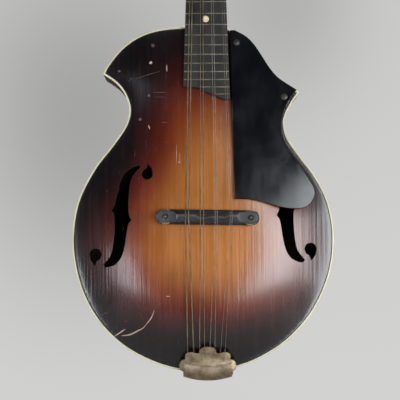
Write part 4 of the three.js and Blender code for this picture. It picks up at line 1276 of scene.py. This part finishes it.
BEND = [(COVER_FRONT, 13), (COVER_FRONT, 9.4), (-16.7, 7), (-16.0, 4.8), (-14.8, 2.9), (-13.0, 1.3),
        (-11, 0.4), (-8.6, 0), (-4, 0), (3.6, 0), (3.9, 0.2)]
rims = []
for sign in (-1, 1):
    line = [(sign * x, z) for x, z in cloud_right[2:]]
    inward = shifted(np.array(line), 0.8 * sign)
    ring_top = [*line, *[tuple(p) for p in inward[::-1]]]
    rims.append(rings_skin([[(x, y, z) for x, z in ring_top] for y in (-16.6, -13.2)]))
piece("cloud_cover", merged(
    prism(cloud, COVER_FRONT, -16.1),
    *rims,
    sheet_strip(BEND, 0.8, np.linspace(-COVER_HALF, COVER_HALF, 41)),
), NICKEL, body="cover", stands_for=["tailpiece_cover"], crease=30, bevel=0.22,
    bevel_angle=65)
curl = [(COVER_HALF + 0.2, -14.6 + 2.0 * math.sin(a), skirt_z(COVER_HALF) + 4.4 + 2.4 * math.cos(a))
        for a in np.linspace(0.4, 4.6, 15)]
piece("cover_curl", tube(curl, 0.45), NICKEL, body="cover")


def tail_edge(x):
    return TAIL_Z + (x + 4) ** 2 / 240


flat_part = rings_skin([
    [(x, -7.9, -478.4), (x, -7.9, tail_edge(x) - 1.0), (x, -7.3, tail_edge(x) - 1.6),
     (x, 0, tail_edge(x) - 1.7), (x, 0, tail_edge(x) - 0.5), (x, -6.7, tail_edge(x) - 0.4),
     (x, -6.7, -478.4)]
    for x in np.linspace(-18, 18, 25)
])
drop = prism([(-14, 0), (14, 0), (12, 8), (9.5, 14), (8.6, 30), (4, 37), (-4, 37), (-8.6, 30),
              (-9.5, 14), (-12, 8)], TAIL_Z - 1.75, TAIL_Z - 0.6, "z")
piece("tailpiece_frame", merged(flat_part, drop), NICKEL, stands_for=["tailpiece_base"],
      crease=35)
hooks, loops = [], []
for _, _, _, x, radius, _, _ in STRINGS:
    hook = [(-8.2, -2.4), (-9.4, -2.2), (-11.2, -0.6), (-11.6, 0.4)]
    hooks.append(tube([(x, y, HOOK_Z + lift) for y, lift in hook], [0.9, 0.9, 0.7, 0.5], 10))
    ring = [(x + 1.5 * math.sin(a), HOOK_Y + 0.3 * math.cos(a), HOOK_Z + 0.9 + 2.1 * math.cos(a))
            for a in np.linspace(0, 2 * math.pi, 25)]
    twist = [(x, HOOK_Y, HOOK_Z + 3), (x, HOOK_Y - 0.05, HOOK_Z + 7.5)]
    loops += [tube(ring, max(0.18, radius * 0.6), 6), tube(twist, radius + 0.22)]
piece("tailpiece_hooks", merged(*hooks), NICKEL)
piece("string_loops", merged(*loops), PLAIN_WIRE, crease=80)
piece("strap_pin", lathe([
    (0.05, -484.8), (4, -484.8), (4, -496.2), (5.2, -496.2), (5.5, -496.7), (5.2, -497.4),
    (3.9, -498), (3.6, -498.6), (4, -499.4), (5.2, -500.2), (5.6, -501.1), (5.5, -502.1),
    (4.6, -503), (4.2, -503.2), (0.05, -503.2),
], 40, "z", centre=(0, PIN_Y, 0)), EBONY, stands_for=["end_pin"], crease=45)

# ------------------------------------------------------------------ pickguard
guard_right = smooth_line([
    (26, -180.9), (35.8, -186.3), (43.1, -193.4), (50.4, -204.2), (57.6, -215.8), (65, -224.7),
    (73, -230.6), (82.6, -236.8),
], 60)
guard_lower = smooth_line([
    (82.6, -236.8), (75.4, -246), (70, -257.5), (68, -269.6), (70.6, -283.4), (78.7, -297.2),
    (89, -312.6), (97.6, -328), (96.4, -337.6), (89.3, -344.5), (78.3, -345.7), (66.1, -344.1),
    (52, -339.8), (38, -337.2), (25, -337.2),
], 130)
guard_left = smooth_line([(25, -337.2), (23, -246), (21.9, -181)], 60)
guard_top = smooth_line([(21.9, -181), (26, -180.9)], 4)
guard_outline = np.vstack([line[:-1] for line in (guard_top, guard_right, guard_lower, guard_left)])


def guard_face(points):
    """The sheet droops a little towards its lower right corner."""
    past = np.maximum(0, 0.8 * (points[:, 0] - 46) + 0.6 * (-points[:, 1] - 262)) / 60
    return 1.15 * past**2


plate(
    "pickguard_sheet", BLACK, guard_outline, guard_face, lambda p: guard_face(p) + 1.8,
    ["pickguard"], at=GUARD, pitch=3.2, margin=1.6, edge_chamfer=0.5,
)
for node_name, x, z, turn in (("pickguard_screw_upper", 27.8, -192.7, 0.5),
                              ("pickguard_screw_horn", 71, -243.4, 2.0)):
    stem = float(front_y([(x, z)])[0]) - GUARD_Y - z * GUARD_SLOPE - 0.4
    piece(node_name + "_head", merged(
        lathe([(0.05, 0), (3.0, 0), (2.9, -0.3), (0.05, -0.35)], 32, centre=(x, 0, z)),
        slotted_screw(x, z, -0.2, 2.6, 0.75, turn=turn),
        lathe([(0.05, 0), (1.5, 0), (1.5, stem), (0.05, stem)], 16, centre=(x, 0, z)),
        lathe([(1.6, 1.85), (3.4, 1.85), (3.4, stem - 0.1), (1.6, stem - 0.1)], 24,
              centre=(x, 0, z)),
    ), SCREW, at=GUARD, stands_for=[node_name])


# ------------------------------------------------------------------ wear marks on the top
def on_top(points):
    """Points just in front of the carving."""
    return [(p[0], y - MARK_LIFT, p[1]) for p, y in zip(points, front_y(points))]


def scratch(path, width):
    """A thin worn line lying on the carving; it narrows towards both ends."""
    line = smooth_line(path, max(6, round(10 * len(path))))
    count = len(line) - 1
    left, right = [], []
    for k, (a, b) in enumerate(zip(shifted(line, 1), shifted(line, -1))):
        size = width / 2 * (0.15 + 0.85 * math.sin(math.pi * k / count) ** 0.6)
        size *= 0.75 + 0.5 * random.random()
        left.append(line[k] + (a - line[k]) * size)
        right.append(line[k] + (b - line[k]) * size)
    size = len(left)
    return on_top(left + right), [(k, k + 1, size + k + 1, size + k) for k in range(count)]


def ding(x, z, radius):
    ring = [(x + radius * (0.7 + 0.6 * random.random()) * math.cos(a),
             z + radius * (0.7 + 0.6 * random.random()) * math.sin(a))
            for a in turn_steps(10)]
    return on_top(ring), [tuple(range(10))]


bright = [
    scratch([(-48.4, -436.8), (-51.4, -444.2), (-57.9, -452.5)], 0.75),
    scratch([(-55.9, -450.2), (-59.2, -453.6), (-63.8, -456), (-70.8, -459.4), (-79.1, -460.6)],
            1.25),
    scratch([(-74.9, -454.2), (-80.2, -457.7), (-85.5, -461.3)], 1.1),
    scratch([(-37.6, -424.3), (-33.6, -424.6)], 0.8),
    scratch([(-36.6, -211.8), (-36.4, -218.2)], 1.0),
    scratch([(-53.6, -267.4), (-52.2, -271.4)], 1.0),
    scratch([(-27.5, -286), (-27.7, -304)], 0.35),
    scratch([(-24.7, -293), (-24.5, -304.5)], 0.45),
    ding(-51.3, -209.5, 1.3), ding(-25.3, -302.4, 0.9),
]
faint = [
    scratch([(-42.6, -431), (-45.4, -434), (-48.4, -437.4)], 0.5),
    scratch([(-76, -446.8), (-73.4, -447.6)], 0.9),
    scratch([(-65, -224), (-53, -220.5), (-42, -217.7)], 0.5),
    scratch([(-49.5, -237), (-36.6, -237.6)], 0.5), scratch([(-49, -241.4), (-38, -241.8)], 0.4),
    scratch([(-41.6, -265.2), (-35.4, -265.5)], 0.8), scratch([(-39, -283.6), (-34.6, -284)], 0.6),
    scratch([(-96.6, -441.4), (-93.4, -439.8), (-90.6, -440.6)], 0.6),
    scratch([(-31.4, -402.5), (-31.8, -407)], 0.5), scratch([(-27.4, -402), (-27.8, -406.4)], 0.5),
    ding(-80.6, -216.8, 1.2), ding(-69.6, -224, 0.8), ding(-53, -239.7, 1.3),
    ding(-49.5, -193, 1.6), ding(-61.4, -261.7, 1.4), ding(-71, -225.5, 0.6),
]
for _ in range(46):
    x, z = random.uniform(-100, 90), random.uniform(-470, -215)
    if inside(np.array([(x, z)]), body_ring(12))[0]:
        lean, size = random.uniform(-0.5, 0.5), random.uniform(2, 9)
        faint.append(scratch([(x, z), (x + size * lean, z - size)], random.uniform(0.12, 0.3)))
piece("worn_marks", merged(*bright), SCRATCH, crease=180)
piece("faint_marks", merged(*faint), RUBBED, crease=180)

# ------------------------------------------------------------------ camera, metres
BACK_OFF = Vector((-0.0064, -1.1635, -0.3861))
LENS_MM, SENSOR_MM = 111.33, 36
rise, roll = math.radians(2.5), math.radians(-0.25)
look_at = Vector((0, math.cos(rise), math.sin(rise)))
level = Vector((0, -math.sin(rise), math.cos(rise)))
right = Vector((1, 0, 0)) * math.cos(roll) + level * math.sin(roll)
upward = level * math.cos(roll) - Vector((1, 0, 0)) * math.sin(roll)
camera = bpy.data.objects.new("camera", bpy.data.cameras.new("camera"))
bpy.context.scene.collection.objects.link(camera)
turned = Matrix((right, upward, -look_at)).transposed().to_4x4()
camera.matrix_world = Matrix.Translation(BACK_OFF) @ turned
camera.data.lens = LENS_MM
camera.data.sensor_width = SENSOR_MM
bpy.context.scene.camera = camera

# ------------------------------------------------------------------ stage and light, metres
FLOOR_Z = -0.8
floor_mesh = bpy.data.meshes.new("floor")
floor_points, floor_faces = rings_skin([
    [(radius * math.cos(a), radius * math.sin(a), FLOOR_Z) for a in turn_steps(64)]
    for radius in (0.01, 0.4, 0.8, 1.25)
], caps=False)
floor_mesh.from_pydata(floor_points, [], floor_faces)
floor_look = Look("pale_floor", Roughness=0.9)
floor_grain = floor_look.noise((30, 30, 30), detail=4.0)
floor_look.set(Base_Color=floor_look.ramp(floor_grain, [
    (0.3, rgb(196, 196, 194)), (0.7, rgb(206, 206, 203)),
]))
floor = show("floor", floor_mesh, floor_look.material, body=None)

world = bpy.data.worlds.new("studio")
bpy.context.scene.world = world
world.use_nodes = True
world.node_tree.nodes.clear()
sky = Nodes(world.node_tree)
sky_x, sky_y, sky_z = sky.node("SeparateXYZ", sky.node("TexCoord").outputs["Generated"]).outputs


def painted_wall_shadow(x, z, wide, tall, amount):
    """A painted soft shadow of the instrument on the wall in front of the camera, round one
    direction.
    """
    u = sky.math("DIVIDE", sky.math("SUBTRACT", sky_x, x), wide)
    v = sky.math("DIVIDE", sky.math("SUBTRACT", sky_z, z), tall)
    fall = sky.math("EXPONENT", sky.math("MULTIPLY", sky.squares(u, v), -1.0))
    ahead = sky.math("GREATER_THAN", sky_y, 0.0)
    return sky.math("MULTIPLY", fall, sky.math("MULTIPLY", ahead, amount))


# painted shade: the wall seen by the camera is darker towards the top, and two painted soft shadows
# of the instrument darken it left of the body and up to the right
wall = sky.span(sky_z, -0.1, 0.16, 0.645, 0.60)
for patch in ((-0.093, 0.105, 0.10, 0.135, -0.235), (0.07, 0.21, 0.06, 0.09, -0.15)):
    wall = sky.math("ADD", wall, painted_wall_shadow(*patch))
glow = sky.span(sky_z, -0.8, -0.42, 0.85, 0.05)
seen = sky.node("Background", (1.0, 1.0, 0.985, 1), wall).outputs[0]
lit = sky.node("Background", (0.93, 0.96, 1.0, 1), glow).outputs[0]
camera_ray = sky.node("LightPath").outputs["Is Camera Ray"]
sky.node("OutputWorld", sky.node("MixShader", camera_ray, lit, seen).outputs[0])


LIT_POINT = (0, -0.03, -0.33)


def soft_light(name, side, up, distance, width, height, power, colour=(1, 1, 1)):
    """An area light round the object: degrees to the right of the camera, degrees up."""
    a, e = math.radians(side), math.radians(up)
    centre = Vector(LIT_POINT)
    away = Vector((math.sin(a) * math.cos(e), -math.cos(a) * math.cos(e), math.sin(e)))
    data = bpy.data.lights.new(name, "AREA")
    data.shape = "RECTANGLE"
    data.size, data.size_y, data.energy, data.color = width, height, power, colour
    lamp = bpy.data.objects.new(name, data)
    lamp.location = centre + away * distance
    lamp.rotation_mode = "QUATERNION"
    lamp.rotation_quaternion = away.to_track_quat("Z", "Y")
    lamp.visible_camera = False
    bpy.context.scene.collection.objects.link(lamp)


soft_light("window", 22.3, -2.5, 2.4, 1.02, 0.9, 37, (0.92, 0.97, 1.0))
soft_light("low_left", -22, -8.5, 2.4, 0.40, 0.42, 7.2, (0.88, 0.94, 1.0))
soft_light("side_left", -70, 4, 2.2, 1.1, 1.0, 38, (1.0, 0.97, 0.93))
soft_light("side_right", 70, 4, 2.2, 1.1, 1.0, 38, (1.0, 0.97, 0.93))
soft_light("overhead", 0, 68, 2.2, 1.5, 1.0, 5, (1.0, 0.98, 0.95))
soft_light("behind", 165, 34, 2.2, 1.5, 1.5, 30)
bpy.context.scene.view_settings.view_transform = "Standard"
